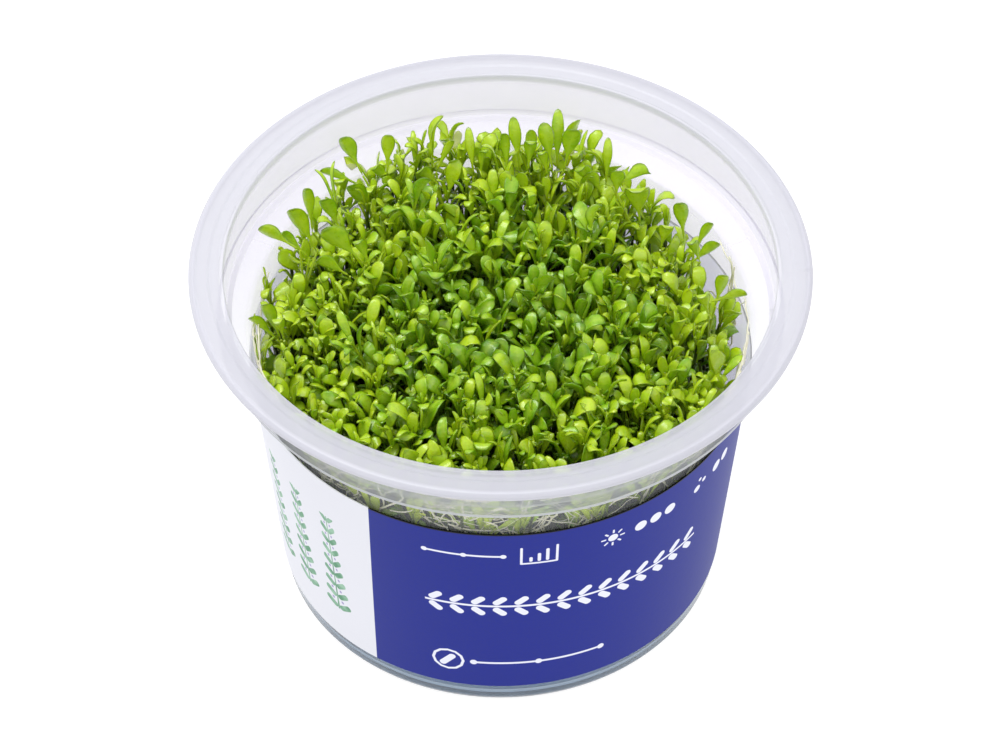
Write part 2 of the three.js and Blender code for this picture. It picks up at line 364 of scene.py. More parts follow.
@dataclass(frozen=True)
class LivingLeaf(Finish):
    """A smooth, slightly fleshy leaf: a soft wax gloss, light coming through, and a thin dark edge.

    Its stalk is paler, and its middle is painted paler, for the light that comes through the blade. The
    youngest leaves are yellowish. Real cells are far too fine to show, so the puckers and the wax are drawn
    just under a millimetre wide.

    Attributes:
        dark: The colour of an old or shaded leaf.
        bright: The colour of a young leaf, and of a leaf painted as lit near the wall.
        stalk: The colour of the leaf's stalk.
        middle: The paler colour painted along the middle of the blade, for the light that comes through it.
        edge: The colour of the thin edge.
        blotch: The size of the blotches in a leaf's colour.
        wax: The size of the patches in its gloss.
        pucker: The size of the puckers.
        pucker_height: How far those stand out.
        wax_weight: How thick the wax is.
        wax_roughness: How rough the wax is.
        glow_through: How much light spreads inside the leaf.
    """

    dark: str = "#4b7f04"
    bright: str = "#bcd812"
    stalk: str = "#b4cc24"
    middle: str = "#cbe650"
    edge: str = "#47640f"
    blotch: float = 1.6
    wax: float = 0.9
    pucker: float = 0.8
    pucker_height: float = 0.13
    wax_weight: float = 0.75
    wax_roughness: float = 0.15
    glow_through: float = 0.35

    def paint(self, brush: Brush, shader: bpy.types.Node) -> None:
        """Colours each leaf by its own tint, and along and across the blade.

        Args:
            brush: The material's brush.
            shader: Its Principled shader.
        """
        add = brush.add
        traits = add("Attribute", output="Vector", attribute_name=LeafHeap.TRAITS)
        across = add("SeparateXYZ", traits, output="X")
        along = add("SeparateXYZ", traits, output="Y")
        tint = add("SeparateXYZ", traits, output="Z")
        blotches = add("TexNoise", named={"Vector": brush.place, "Scale": 1 / self.blotch})
        patches = add("MapRange", blotches, 0.3, 0.7, -0.16, 0.16)
        # The tint carries painted light: leaves near the wall are painted brighter.
        youth_and_painted_light = add("Math", tint, patches, operation="ADD", use_clamp=True)
        side = add("Math", across, operation="ABSOLUTE")
        layers = (
            (add("MapRange", youth_and_painted_light, 0, 0.5, 0, 1), self.colour),
            (add("MapRange", youth_and_painted_light, 0.5, 1, 0, 1), self.bright),
            # Painted light: the middle of the blade is painted paler, for the light that comes through it.
            (add("MapRange", side, 0.0, 0.7, 0.36, 0), self.middle),
            (add("MapRange", side, 0.8, 1.0, 0, 0.65), self.edge),
            (add("MapRange", along, 0.92, 1.0, 0, 0.75), self.edge),
            (add("MapRange", along, 0.1, 0.5, 0.85, 0), self.stalk),
        )
        colour = self.dark
        for share, over in layers:
            colour = add("Mix", share, named={6: colour, 7: over}, output=2, data_type="RGBA")
        wax = add("TexNoise", named={"Vector": brush.place, "Scale": 1 / self.wax})
        gloss = add("MapRange", wax, 0.3, 0.7, self.roughness - 0.1, self.roughness + 0.12)
        puckers = add("TexNoise", named={"Vector": brush.place, "Scale": 1 / self.pucker})
        relief = add("Bump", named={"Height": puckers, "Distance": self.pucker_height * MM})
        brush.drive(shader, Base_Color=colour, Roughness=gloss, Normal=relief)
        shader.inputs["Coat Weight"].default_value = self.wax_weight
        shader.inputs["Coat Roughness"].default_value = self.wax_roughness
        shader.inputs["Subsurface Weight"].default_value = self.glow_through
        shader.inputs["Subsurface Radius"].default_value = (0.7, 1.0, 0.1)
        shader.inputs["Subsurface Scale"].default_value = 0.6 * MM


@dataclass(frozen=True)
class PrintedFilm(Finish):
    """A satin printed label: dark blue ink with plain white marks, and a white panel with plain sprigs.

    The pattern is laid out in millimetres round the wall, from the middle of the front, and up it. The
    screen's specks are drawn coarser than in print, so that they show.

    Attributes:
        radius: The wall's radius at the label's middle.
        wall_radius: The radius halfway through the label, at the height of the foot.
        wall_taper: The growth of that radius for each millimetre of height.
        panel_ends: Where the white panel starts and ends round the wall, at the height of the foot.
        panel_lean: How far its right edge leans for each millimetre of height.
        screen: The size of the printing screen's specks.
        ripple: The size of the film's ripples.
        ripple_height: How far those stand out.
        light_ink: The paler specks of the printing screen.
        unprinted: The white of the marks.
        paper: The white of the panel and of the inner side.
        edge_shadow: The dark of the painted shadow along the cut upper edge.
        edge_shadow_from: The height from which the painted shadow starts.
        daylight: How much light comes through the film to its inner side, at the back.
        shine: The specular level of the satin print.
    """

    radius: float = 39.2
    wall_radius: float = 36.7
    wall_taper: float = 0.096
    panel_ends: tuple[float, float] = (-82.0, -23.1)
    panel_lean: float = 0.043
    screen: float = 0.35
    ripple: float = 1.2
    ripple_height: float = 0.01
    light_ink: str = "#142486"
    unprinted: str = "#eef0fb"
    paper: str = "#e9eaf0"
    edge_shadow: str = "#05070d"
    edge_shadow_from: float = 46.55
    daylight: float = 0.68
    shine: float = 0.22

    def paint(self, brush: Brush, shader: bpy.types.Node) -> None:
        """Paints the ink, the marks, the panel, a painted shadow along the upper edge, and the inner side.

        Args:
            brush: The material's brush.
            shader: Its Principled shader.
        """
        add = brush.add
        x = add("SeparateXYZ", brush.place, output="X")
        y = add("SeparateXYZ", brush.place, output="Y")
        height = add("SeparateXYZ", brush.place, output="Z")
        towards = add("Math", y, -1.0, operation="MULTIPLY")
        turn = add("Math", x, towards, operation="ARCTAN2")
        around = add("Math", turn, self.radius, operation="MULTIPLY")
        spot = add("CombineXYZ", around, height)
        screen = add("TexNoise", named={"Vector": brush.place, "Scale": 1 / self.screen})
        speckle = add("MapRange", screen, 0.35, 0.7, 0, 1)
        panel = self.panel(brush, around, height)
        level = add("VectorMath", brush.place, (1, 1, 0), operation="MULTIPLY")
        radius = add("VectorMath", level, output="Value", operation="LENGTH")
        wall = add("Math", height, self.wall_taper, self.wall_radius, operation="MULTIPLY_ADD")
        inner = add("Math", radius, wall, operation="LESS_THAN")
        # Painted shadow: a dark line along the label's upper edge, over the ink.
        cut = add("Math", height, self.edge_shadow_from, operation="GREATER_THAN")
        inked = add("Math", 1.0, panel, operation="SUBTRACT")
        layers = (
            (speckle, self.light_ink),
            (self.marks(brush, spot), self.unprinted),
            (panel, self.picture(brush, spot)),
            (inner, self.paper),
            (add("Math", cut, inked, operation="MULTIPLY"), self.edge_shadow),
        )
        colour = self.colour
        for share, over in layers:
            colour = add("Mix", share, named={6: colour, 7: over}, output=2, data_type="RGBA")
        ripples = add("TexNoise", named={"Vector": brush.place, "Scale": 1 / self.ripple})
        relief = add("Bump", named={"Height": ripples, "Distance": self.ripple_height * MM})
        # Painted light: the inner side glows at the back, for the light that comes through the film.
        behind = add("MapRange", y, -8, 4, 0, self.daylight)
        through = add("Math", inner, behind, operation="MULTIPLY")
        brush.drive(shader, Base_Color=colour, Normal=relief, Emission_Strength=through)
        shader.inputs["Emission Color"].default_value = linear(self.paper)
        shader.inputs["Specular IOR Level"].default_value = self.shine

    def panel(self, brush: Brush, around: Socket, height: Socket) -> Socket:
        """Marks out the white panel, which leans a little because the strip is cut on a curve.

        Args:
            brush: The material's brush.
            around: The place round the wall.
            height: The height.

        Returns:
            1 on the panel and 0 elsewhere.
        """
        first, last = self.panel_ends
        soft = 0.03
        lean = brush.add("Math", height, self.panel_lean, last, operation="MULTIPLY_ADD")
        past = brush.add("Math", lean, around, operation="SUBTRACT")
        right = brush.add("MapRange", past, -soft, soft, 0, 1)
        left = brush.add("MapRange", around, first - soft, first + soft, 0, 1)
        return brush.add("Math", right, left, operation="MULTIPLY")

    def pill(
        self, brush: Brush, spot: Socket, start: Sequence[float], end: Sequence[float], radius: float
    ) -> Socket:
        """Marks what lies within a distance of a line, with a thin soft edge.

        Args:
            brush: The material's brush.
            spot: The place on the unrolled label.
            start: The line's first end. Both ends may be the same, for a disc.
            end: Its other end.
            radius: The distance.

        Returns:
            1 near the line and 0 elsewhere.
        """
        add = brush.add
        soft = 0.04
        line = Vector((*end, 0)) - Vector((*start, 0))
        if line.length < TINY:
            line = Vector((1e-3, 0, 0))
        offset = add("VectorMath", spot, (*start, 0), operation="SUBTRACT")
        share = add("VectorMath", offset, line / line.length_squared, output="Value", operation="DOT_PRODUCT")
        held = add("Math", share, 0.0, operation="ADD", use_clamp=True)
        along = add("VectorMath", line, named={"Scale": held}, operation="SCALE")
        away = add("VectorMath", offset, along, output="Value", operation="DISTANCE")
        return add("MapRange", away, radius - soft, radius + soft, 1, 0)

    def marks(self, brush: Brush, spot: Socket) -> Socket:
        """Draws the white marks: rating dots, a sun, bubbles, a tank, a ring with a leaf, a vine and rules.

        Args:
            brush: The material's brush.
            spot: The place on the unrolled label.

        Returns:
            1 on the marks and 0 elsewhere.
        """
        upper, lower, rule, ring_radius = 40.9, 11.4, 41.0, 2.6
        discs = [(x, upper, 1.1) for x in (23.0, 25.9, 28.8, 40.6, 43.4)]
        discs += [(18.0, upper, 0.85), (35.2, 40.2, 0.75), (36.9, 41.2, 0.5), (35.7, 42.2, 0.38)]
        discs += [(x, rule, 0.5) for x in (-12.0, -5.8, 0.4)]
        discs += [(x, lower, 0.62) for x in (-4.6, 6.5, 17.6)]
        sun = Vector((18.0, upper))
        rays = [Vector((math.cos(turn), math.sin(turn))) for turn in np.arange(8) * math.pi / 4]
        tank = [(3.2, 43.0), (3.2, 38.9), (8.8, 38.9), (8.8, 43.0)]
        corners = [Vector((math.cos(turn), math.sin(turn))) for turn in np.arange(13) * math.pi / 6]
        ring = [Vector((-9.0, lower)) + ring_radius * corner for corner in corners]
        lines = [(sun + 1.35 * ray, sun + 1.9 * ray, 0.17) for ray in rays]
        lines += [(start, end, 0.2) for start, end in zip(tank, tank[1:])]
        lines += [((x, 39.6), (x, top), 0.26) for x, top in ((4.7, 40.3), (6.0, 41.2), (7.3, 42.2))]
        lines += [((-12.0, rule), (0.4, rule), 0.22), ((-4.6, lower), (17.6, lower), 0.24)]
        lines += [(start, end, 0.24) for start, end in zip(ring, ring[1:])]
        lines.append(((-9.9, lower - 1.1), (-8.3, lower + 0.9), 0.62))
        lines += [((x, y), (x, y), size) for x, y, size in discs]
        total = self.vine(brush, spot)
        for start, end, radius in lines:
            mask = self.pill(brush, spot, start, end, radius)
            total = brush.add("Math", total, mask, operation="MAXIMUM")
        return total

    def vine(self, brush: Brush, spot: Socket) -> Socket:
        """Draws a creeping stem with small leaf pairs, across the middle of the front.

        Args:
            brush: The material's brush.
            spot: The place on the unrolled label.

        Returns:
            1 on the vine and 0 elsewhere.
        """
        add = brush.add
        start, end, pitch, rise = -12.4, 36.6, 3.5, 27.4
        x = add("SeparateXYZ", spot, output="X")
        y = add("SeparateXYZ", spot, output="Y")
        shifted = add("Math", x, start, operation="SUBTRACT")
        wrapped = add("Math", shifted, pitch, operation="MODULO")
        cell = add("Math", wrapped, pitch / 2, operation="SUBTRACT")
        level = add("Math", y, rise, operation="SUBTRACT")
        up = add("Math", level, operation="ABSOLUTE")
        folded = add("CombineXYZ", cell, up)
        leaves = self.pill(brush, folded, (-0.5, 0.95), (0.55, 1.95), 0.62)
        stem = add("MapRange", up, 0.2, 0.28, 1, 0)
        both = add("Math", leaves, stem, operation="MAXIMUM")
        inside = add("Math", x, (start + end) / 2, (end - start) / 2, operation="COMPARE")
        return add("Math", both, inside, operation="MULTIPLY")

    def picture(self, brush: Brush, spot: Socket) -> Socket:
        """Paints the white panel, with three plain upright sprigs and pale berries.

        Args:
            brush: The material's brush.
            spot: The place on the unrolled label.

        Returns:
            The panel's colour.
        """
        add = brush.add
        middle, across, pitch, low, high = -38.5, 8.0, 2.9, 12.6, 37.5
        x = add("SeparateXYZ", spot, output="X")
        y = add("SeparateXYZ", spot, output="Y")
        column = add("Math", x, middle + across / 2, middle - across / 2, operation="WRAP")
        away = add("Math", column, middle, operation="SUBTRACT")
        narrowing = add("MapRange", y, low, high, 1.0, 2.1)
        side = add("Math", add("Math", away, narrowing, operation="MULTIPLY"), operation="ABSOLUTE")
        level = add("Math", y, low, low + pitch, operation="WRAP")
        local = add("CombineXYZ", side, add("Math", level, low, operation="SUBTRACT"))
        tone = add("TexNoise", named={"Vector": spot, "Scale": 1 / 2.4})
        tone = add("MapRange", tone, 0.35, 0.65, 0, 1)
        green = add("Mix", tone, named={6: "#5b9672", 7: "#9cc6aa"}, output=2, data_type="RGBA")
        above = add("MapRange", y, low, low + 0.1, 0, 1)
        below = add("MapRange", y, high - 0.1, high, 1, 0)
        inside = add("Math", x, middle, 1.5 * across, operation="COMPARE")
        held = add("Math", add("Math", above, below, operation="MULTIPLY"), inside, operation="MULTIPLY")
        shapes = (
            ((0, 0), (0, pitch), 0.2, green),
            ((0.8, 0.7), (2.5, 1.7), 0.62, green),
            ((1.2, 2.45), (1.2, 2.45), 0.34, "#aaa2cc"),
        )
        colour = self.paper
        for start, end, radius, tint in shapes:
            mask = add("Math", self.pill(brush, local, start, end, radius), held, operation="MULTIPLY")
            colour = add("Mix", mask, named={6: colour, 7: tint}, output=2, data_type="RGBA")
        return colour


@dataclass(frozen=True)
class StudioFloor(Finish):
    """A matt white opal sheet, lit from below: it glows, so it stays white round the cup.

    Attributes:
        light: The colour of the light that it gives off.
        glow: The strength of that light.
        grain: The size of its fine grain.
    """

    light: str = "#ffffff"
    glow: float = 0.92
    grain: float = 0.6

    def paint(self, brush: Brush, shader: bpy.types.Node) -> None:
        """Adds the glow, and the sheet's faint grain.

        Args:
            brush: The material's brush.
            shader: Its Principled shader.
        """
        grain = brush.add("TexNoise", named={"Vector": brush.place, "Scale": 1 / self.grain})
        rough = brush.add("MapRange", grain, 0, 1, self.roughness - 0.05, self.roughness + 0.05)
        brush.drive(shader, Roughness=rough)
        shader.inputs["Emission Color"].default_value = linear(self.light)
        shader.inputs["Emission Strength"].default_value = self.glow


# Meshes


def piece(name: str, mesh: bpy.types.Mesh, material: bpy.types.Material, slot: Slot) -> bpy.types.Object:
    """Makes a smooth-shaded piece of the object out of a mesh in millimetres.

    Args:
        name: The piece's name.
        mesh: Its mesh.
        material: Its material.
        slot: The record's slot; it is not used.

    Returns:
        The piece, which rides on the part's body.
    """
    mesh.transform(Matrix.Scale(MM, 4))
    mesh.materials.clear()
    mesh.materials.append(material)
    mesh.shade_smooth()
    made = bpy.data.objects.new(name, mesh)
    bpy.context.scene.collection.objects.link(made)
    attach(made, BODY)
    log.info("%s: %d faces", name, len(mesh.polygons))
    return made


def mesh_of(name: str, shape: bmesh.types.BMesh) -> bpy.types.Mesh:
    """Turns a bmesh into a mesh datablock and frees it.

    Args:
        name: The mesh's name.
        shape: The bmesh.

    Returns:
        The mesh.
    """
    mesh = bpy.data.meshes.new(name)
    shape.to_mesh(mesh)
    shape.free()
    return mesh


def turned(outline: Sequence[tuple[float, float]], steps: int, round_off: float = 0.0) -> bmesh.types.BMesh:
    """Spins an outline round the Z axis into a closed body.

    Args:
        outline: Points of radius and height, from the axis, round the body and back to the axis.
        steps: How many steps a full turn has.
        round_off: How far each sharp ring is rounded, or 0 to leave them.

    Returns:
        The body, with its faces pointing out.
    """
    shape = bmesh.new()
    points = [shape.verts.new((radius, 0, height)) for radius, height in outline]
    edges = [shape.edges.new(pair) for pair in zip(points, points[1:])]
    bmesh.ops.spin(
        shape,
        geom=points + edges,
        cent=(0, 0, 0),
        axis=(0, 0, 1),
        angle=2 * math.pi,
        steps=steps,
        use_merge=True,
        use_duplicate=False,
    )
    bmesh.ops.remove_doubles(shape, verts=shape.verts, dist=SAME)
    bmesh.ops.recalc_face_normals(shape, faces=shape.faces)
    if round_off:
        sharp = math.radians(16)
        rings = [
            edge
            for edge in shape.edges
            if abs(edge.verts[0].co.z - edge.verts[1].co.z) < SAME
            and abs(edge.verts[0].co.xy.length - edge.verts[1].co.xy.length) < SAME
            and edge.calc_face_angle(0) > sharp
        ]
        bmesh.ops.bevel(
            shape,
            geom=rings,
            offset=round_off,
            segments=3,
            profile=0.5,
            affect="EDGES",
            clamp_overlap=True,
            material=-1,
        )
    return shape


@dataclass
class Cup:
    """The moulded cup: foot ring, tapered wall, shoulder with a bead, collar and flat rim.

    Attributes:
        rim_radius: The outer radius of the rim, from the CAD cup.
        rim_top: The height of the rim's flat, from the CAD cup.
        wall: The wall's thickness.
        floor: The height of the floor inside.
        clearance: The gap that is kept between the plant and the wall.
        base_radius: The outer radius where the wall's line meets the ground.
        taper: The growth of the wall's radius for each millimetre of height.
        shoulder: The heights where the shoulder starts and ends.
        collar_radius: The collar's outer radius.
        step_radius: The radius of the low step on the rim.
        rounding: How far its sharp edges are rounded.
        steps: How many sides it has.
    """

    rim_radius: float = cad_size("cup").x / 2
    rim_top: float = cad_size("cup").z
    wall: float = 0.8
    floor: float = 1.6
    clearance: float = 0.15
    base_radius: float = 36.5
    taper: float = 0.096
    shoulder: tuple[float, float] = (53.5, 56.2)
    collar_radius: float = 45.6
    step_radius: float = 47.3
    rounding: float = 0.22
    steps: int = 192

    def outer(self, height: float) -> float:
        """Returns the wall's outer radius at a height."""
        return self.base_radius + self.taper * height

    def inner(self, height: float) -> float:
        """Returns the wall's inner radius at a height."""
        return self.outer(height) - self.wall

    def kept_inside(self, points: np.ndarray, give: float = 1.2) -> np.ndarray:
        """Returns points that are pressed in where they would pass through the wall.

        Args:
            points: One row a point.
            give: How far from the wall the pressing starts.

        Returns:
            The points inside the cup.
        """
        low, high = self.shoulder
        heights = [0, low, high + 1, self.rim_top, self.rim_top + 5]
        wide = self.collar_radius - self.wall
        radii = [self.inner(0), self.inner(low), wide, wide, wide]
        limit = np.interp(points[:, 2], heights, radii) - self.clearance
        away = np.hypot(points[:, 0], points[:, 1])
        held = limit - give * np.exp(np.minimum((limit - give - away) / give, 0))
        scale = np.where(away > limit - give, held / np.maximum(away, TINY), 1)
        return np.column_stack([points[:, 0] * scale, points[:, 1] * scale, points[:, 2]])

    def build(self) -> bpy.types.Object:
        """Builds the cup in place of its CAD node.

        The outline starts under the middle of the foot and goes up the outside and down the inside.

        Returns:
            The cup.
        """
        low, high = self.shoulder
        top, rim, collar, step = self.rim_top, self.rim_radius, self.collar_radius, self.step_radius
        inside = collar - self.wall
        outline = [
            (0, 0.8),
            (30.7, 0.8),
            (31.5, 0),
            (35, 0),
            (self.outer(0) - 0.45, 0.35),
            (self.outer(1.4), 1.4),
            (self.outer(low), low),
            (collar + 0.3, high),
            (collar + 0.7, high + 0.3),
            (collar + 0.6, high + 0.9),
            (collar, high + 1.2),
            (collar, top - 0.9),
            (rim - 0.9, top - 0.9),
            (rim - 0.8, top - 1.2),
            (rim, top - 1.2),
            (rim, top - 0.6),
            (rim - 0.5, top),
            (step + 0.2, top),
            (step - 0.2, top - 0.2),
            (inside + 0.8, top - 0.25),
            (inside + 0.5, top - 0.05),
            (inside + 0.15, top - 0.1),
            (inside, top - 0.6),
            (inside, high + 1.0),
            (self.inner(low), low + 0.5),
            (self.inner(self.floor + 1.5), self.floor + 1.5),
            (self.inner(self.floor) - 1.5, self.floor),
            (0, self.floor),
        ]
        finish = NaturalPolypropylene("polypropylene_moulded", "#c1c4c5", roughness=0.34, ior=1.49)
        mesh = mesh_of("cup_shell", turned(outline, self.steps, self.rounding))
        made = piece("cup_shell", mesh, finish.material(), Slot.CUP)
        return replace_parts(made, "cup")


@dataclass
class Label:
    """The printed strip round the wall, with a narrow slit at the back.

    Attributes:
        cup: The cup that it is on.
        bottom: The height of its lower edge.
        top: The height of its upper edge.
        gap: How far it stands off the wall.
        thickness: Its thickness.
        seam: The width of the slit where its ends meet.
        steps: How many steps it has round the wall.
    """

    cup: Cup
    bottom: float = 4.8
    top: float = 46.8
    gap: float = 0.1
    thickness: float = 0.2
    seam: float = 1.2
    steps: int = 240

    def build(self) -> bpy.types.Object:
        """Builds the label in place of its CAD node.

        Returns:
            The label.
        """
        shape = bmesh.new()
        corners = [
            (self.cup.outer(height) + self.gap + lift, height)
            for height, lift in (
                (self.bottom, 0),
                (self.bottom, self.thickness),
                (self.top, self.thickness),
                (self.top, 0),
            )
        ]
        half = self.seam / 2 / self.cup.outer(self.top)
        begin = math.pi / 2 + half
        points = [
            shape.verts.new((radius * math.cos(begin), radius * math.sin(begin), height))
            for radius, height in corners
        ]
        end = shape.faces.new(points)
        bmesh.ops.spin(
            shape,
            geom=[end, *end.edges, *end.verts],
            cent=(0, 0, 0),
            axis=(0, 0, 1),
            angle=2 * (math.pi - half),
            steps=self.steps,
            use_duplicate=False,
        )
        bmesh.ops.recalc_face_normals(shape, faces=shape.faces)
        finish = PrintedFilm("label_printed_satin", "#0b208d", roughness=0.45)
        made = piece("printed_label", mesh_of("printed_label", shape), finish.material(), Slot.LABEL)
        made.data.set_sharp_from_angle(angle=math.radians(40))
        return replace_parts(made, "label")


@dataclass
class Gel:
    """The plug of nutrient gel, which creeps a little up the wall.

    Attributes:
        cup: The cup that holds it.
        top: The height of its surface.
        meniscus: How far it creeps up the wall.
        gap: How far it stays off the plastic.
        rounding: How far its sharp edges are rounded.
        steps: How many sides it has.
    """

    cup: Cup
    top: float = 22.6
    meniscus: float = 1.0
    gap: float = 0.3
    rounding: float = 0.3
    steps: int = 96

    def build(self) -> bpy.types.Object:
        """Builds the gel in place of its CAD node.

        Returns:
            The gel.
        """
        bottom = self.cup.floor + self.gap
        edge = self.top + self.meniscus
        outline = [
            (0, bottom),
            (self.cup.inner(bottom) - self.gap - 1.5, bottom),
            (self.cup.inner(bottom + 1.5) - self.gap, bottom + 1.5),
            (self.cup.inner(edge) - self.gap, edge),
            (self.cup.inner(self.top) - 1.5, self.top + 0.2),
            (30, self.top),
            (0, self.top),
        ]
        finish = NutrientJelly("gel_agar", "#668196", roughness=0.12, ior=1.34)
        mesh = mesh_of("gel_plug", turned(outline, self.steps, self.rounding))
        made = piece("gel_plug", mesh, finish.material(), Slot.GEL)
        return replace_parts(made, "nutrient_gel")


@dataclass(frozen=True)
class Spread:
    """A measure that differs from piece to piece.

    Attributes:
        mean: Its mean.
        stray: How far it commonly strays from that.
        least: The least that it may be.
        most: The most.
    """

    mean: float
    stray: float
    least: float
    most: float

    def draw(self, rng: np.random.Generator) -> float:
        """Returns one value of the measure."""
        return float(np.clip(rng.normal(self.mean, self.stray), self.least, self.most))


@dataclass
class Strand:
    """A round strand.

    Attributes:
        points: One row a point, from the foot to the tip.
        foot_radius: Its radius at the foot.
        tip_radius: Its radius at the tip.
    """

    points: np.ndarray
    foot_radius: float
    tip_radius: float


def strands_mesh(name: str, strands: Iterable[Strand], sides: int) -> bpy.types.Mesh:
    """Makes many strands as one mesh, by way of a curve with a round section.

    Args:
        name: The mesh's name.
        strands: The strands, each with at least 3 points.
        sides: The curve's bevel resolution, 0 for 4 sides and 1 for 6.

    Returns:
        The joined mesh.
    """
    curve = bpy.data.curves.new(name, "CURVE")
    curve.dimensions = "3D"
    curve.bevel_depth = 1.0
    curve.bevel_resolution = sides
    curve.use_fill_caps = True
    for strand in strands:
        count = len(strand.points)
        spline = curve.splines.new("POLY")
        spline.points.add(count - 1)
        placed = np.column_stack([strand.points, np.ones(count)])
        spline.points.foreach_set("co", placed.ravel())
        spline.points.foreach_set("radius", np.linspace(strand.foot_radius, strand.tip_radius, count))
        spline.use_smooth = True
    carrier = bpy.data.objects.new(name, curve)
    bpy.context.scene.collection.objects.link(carrier)
    graph = bpy.context.evaluated_depsgraph_get()
    mesh = bpy.data.meshes.new_from_object(carrier.evaluated_get(graph))
    bpy.data.objects.remove(carrier)
    bpy.data.curves.remove(curve)
    return mesh


class LeafForm(Enum):
    """The ways that a leaf is shaped.

    Each gives the share of its length that is stalk, where the blade is widest, how far its sides turn in
    towards the shoot, how far the tip curls out in radians, and its width against a common leaf's.
    """

    PADDLE = (0.24, 0.68, 0.45, 0.65, 1.0)
    BLUNT = (0.32, 0.72, 0.55, 0.25, 1.0)
    STRAP = (0.15, 0.7, 0.5, 1.0, 0.5)
    HOOKED = (0.24, 0.68, 0.35, 1.9, 1.0)
    SCOOP = (0.3, 0.7, 0.9, -0.5, 0.95)
    FOLDED = (0.26, 0.7, 1.8, 0.9, 0.8)


@dataclass
class LeafTemplate:
    """A closed leaf of a few dozen faces, whose vertices are shaped anew for each leaf.

    Attributes:
        around: How many vertices a ring across the leaf has.
        rings: How many steps the leaf has from foot to tip.
        across: Where each vertex lies across the leaf, from -1 to 1.
        depth: Where it lies through the leaf, from -1 on the outer side to 1.
        along: Where it lies along the leaf, from 0 at the foot to 1. The steps are finer at the tip.
        loops: The vertex of each face corner.
        corner_counts: How many corners each face has.
    """

    around: int = 8
    rings: int = 8
    across: np.ndarray = field(init=False)
    depth: np.ndarray = field(init=False)
    along: np.ndarray = field(init=False)
    loops: np.ndarray = field(init=False)
    corner_counts: np.ndarray = field(init=False)

    def __post_init__(self) -> None:
        """Reads the leaf's topology from a sphere whose poles are the foot and the tip."""
        shape = bmesh.new()
        bmesh.ops.create_uvsphere(shape, u_segments=self.around, v_segments=self.rings, radius=1)
        bmesh.ops.recalc_face_normals(shape, faces=shape.faces)
        places = np.array([vertex.co for vertex in shape.verts])
        girth = np.hypot(places[:, 0], places[:, 1])
        safe = np.maximum(girth, TINY)
        pole = girth < SAME
        self.across = np.where(pole, 0, places[:, 1] / safe)
        self.depth = np.where(pole, 0, -places[:, 0] / safe)
        step = np.arccos(np.clip(-places[:, 2], -1, 1)) / math.pi
        self.along = 1 - (1 - step) ** 1.5
        self.loops = np.array([loop.vert.index for face in shape.faces for loop in face.loops])
        self.corner_counts = np.array([len(face.verts) for face in shape.faces])
        shape.free()

    def shaped(
        self, form: LeafForm, length: float, width: float, lean: float, bend: float, twist: float
    ) -> np.ndarray:
        """Shapes the leaf, standing on the origin and leaning to +X.

        Args:
            form: The way that the leaf is shaped.
            length: From the foot of the stalk to the tip.
            width: The widest part of a common blade.
            lean: The angle of the foot from upright, in radians.
            bend: How far the leaf turns outwards from foot to tip, in radians.
            twist: How far the blade turns about its own length, in radians.

        Returns:
            An array of points, one row a vertex.
        """
        stalk, widest, hollow, curl, breadth = form.value
        thin = 0.2  # half of the stalk's breadth
        curl_from = 0.62  # where the tip starts to curl, from 0 at the foot to 1
        steps = 32  # how many straight steps the middle line has
        widening = np.clip((self.along - stalk) / (widest - stalk), 0, 1)
        ending = np.clip((self.along - widest) / (1 - widest), 0, 1)
        swell = 0.8 * widening**2 * (3 - 2 * widening) + 0.2 * widening
        round_end = np.sqrt(np.maximum(1 - ending**2.3, 0))
        half = (thin + (0.5 * width * breadth - thin) * swell) * round_end
        thick = (0.17 + 0.05 * swell) * np.where(self.along > 0.999, 0, 1)
        side = self.across * half
        inward = self.depth * thick * round_end**0.5 + hollow * side**2 / (width * breadth)
        fine = np.linspace(0, 1, steps + 1)
        angle = lean + bend * fine**1.3 + curl * np.clip((fine - curl_from) / (1 - curl_from), 0, 1) ** 1.5
        middle = 0.5 * (angle[1:] + angle[:-1])
        out = np.concatenate([[0], np.cumsum(np.sin(middle))]) * length / steps
        up = np.concatenate([[0], np.cumsum(np.cos(middle))]) * length / steps
        here = np.interp(self.along, fine, angle)
        roll = twist * self.along
        rolled_side = side * np.cos(roll) - inward * np.sin(roll)
        rolled_in = side * np.sin(roll) + inward * np.cos(roll)
        x = np.interp(self.along, fine, out) - rolled_in * np.cos(here)
        z = np.interp(self.along, fine, up) + rolled_in * np.sin(here)
        return np.column_stack([x, rolled_side, z])


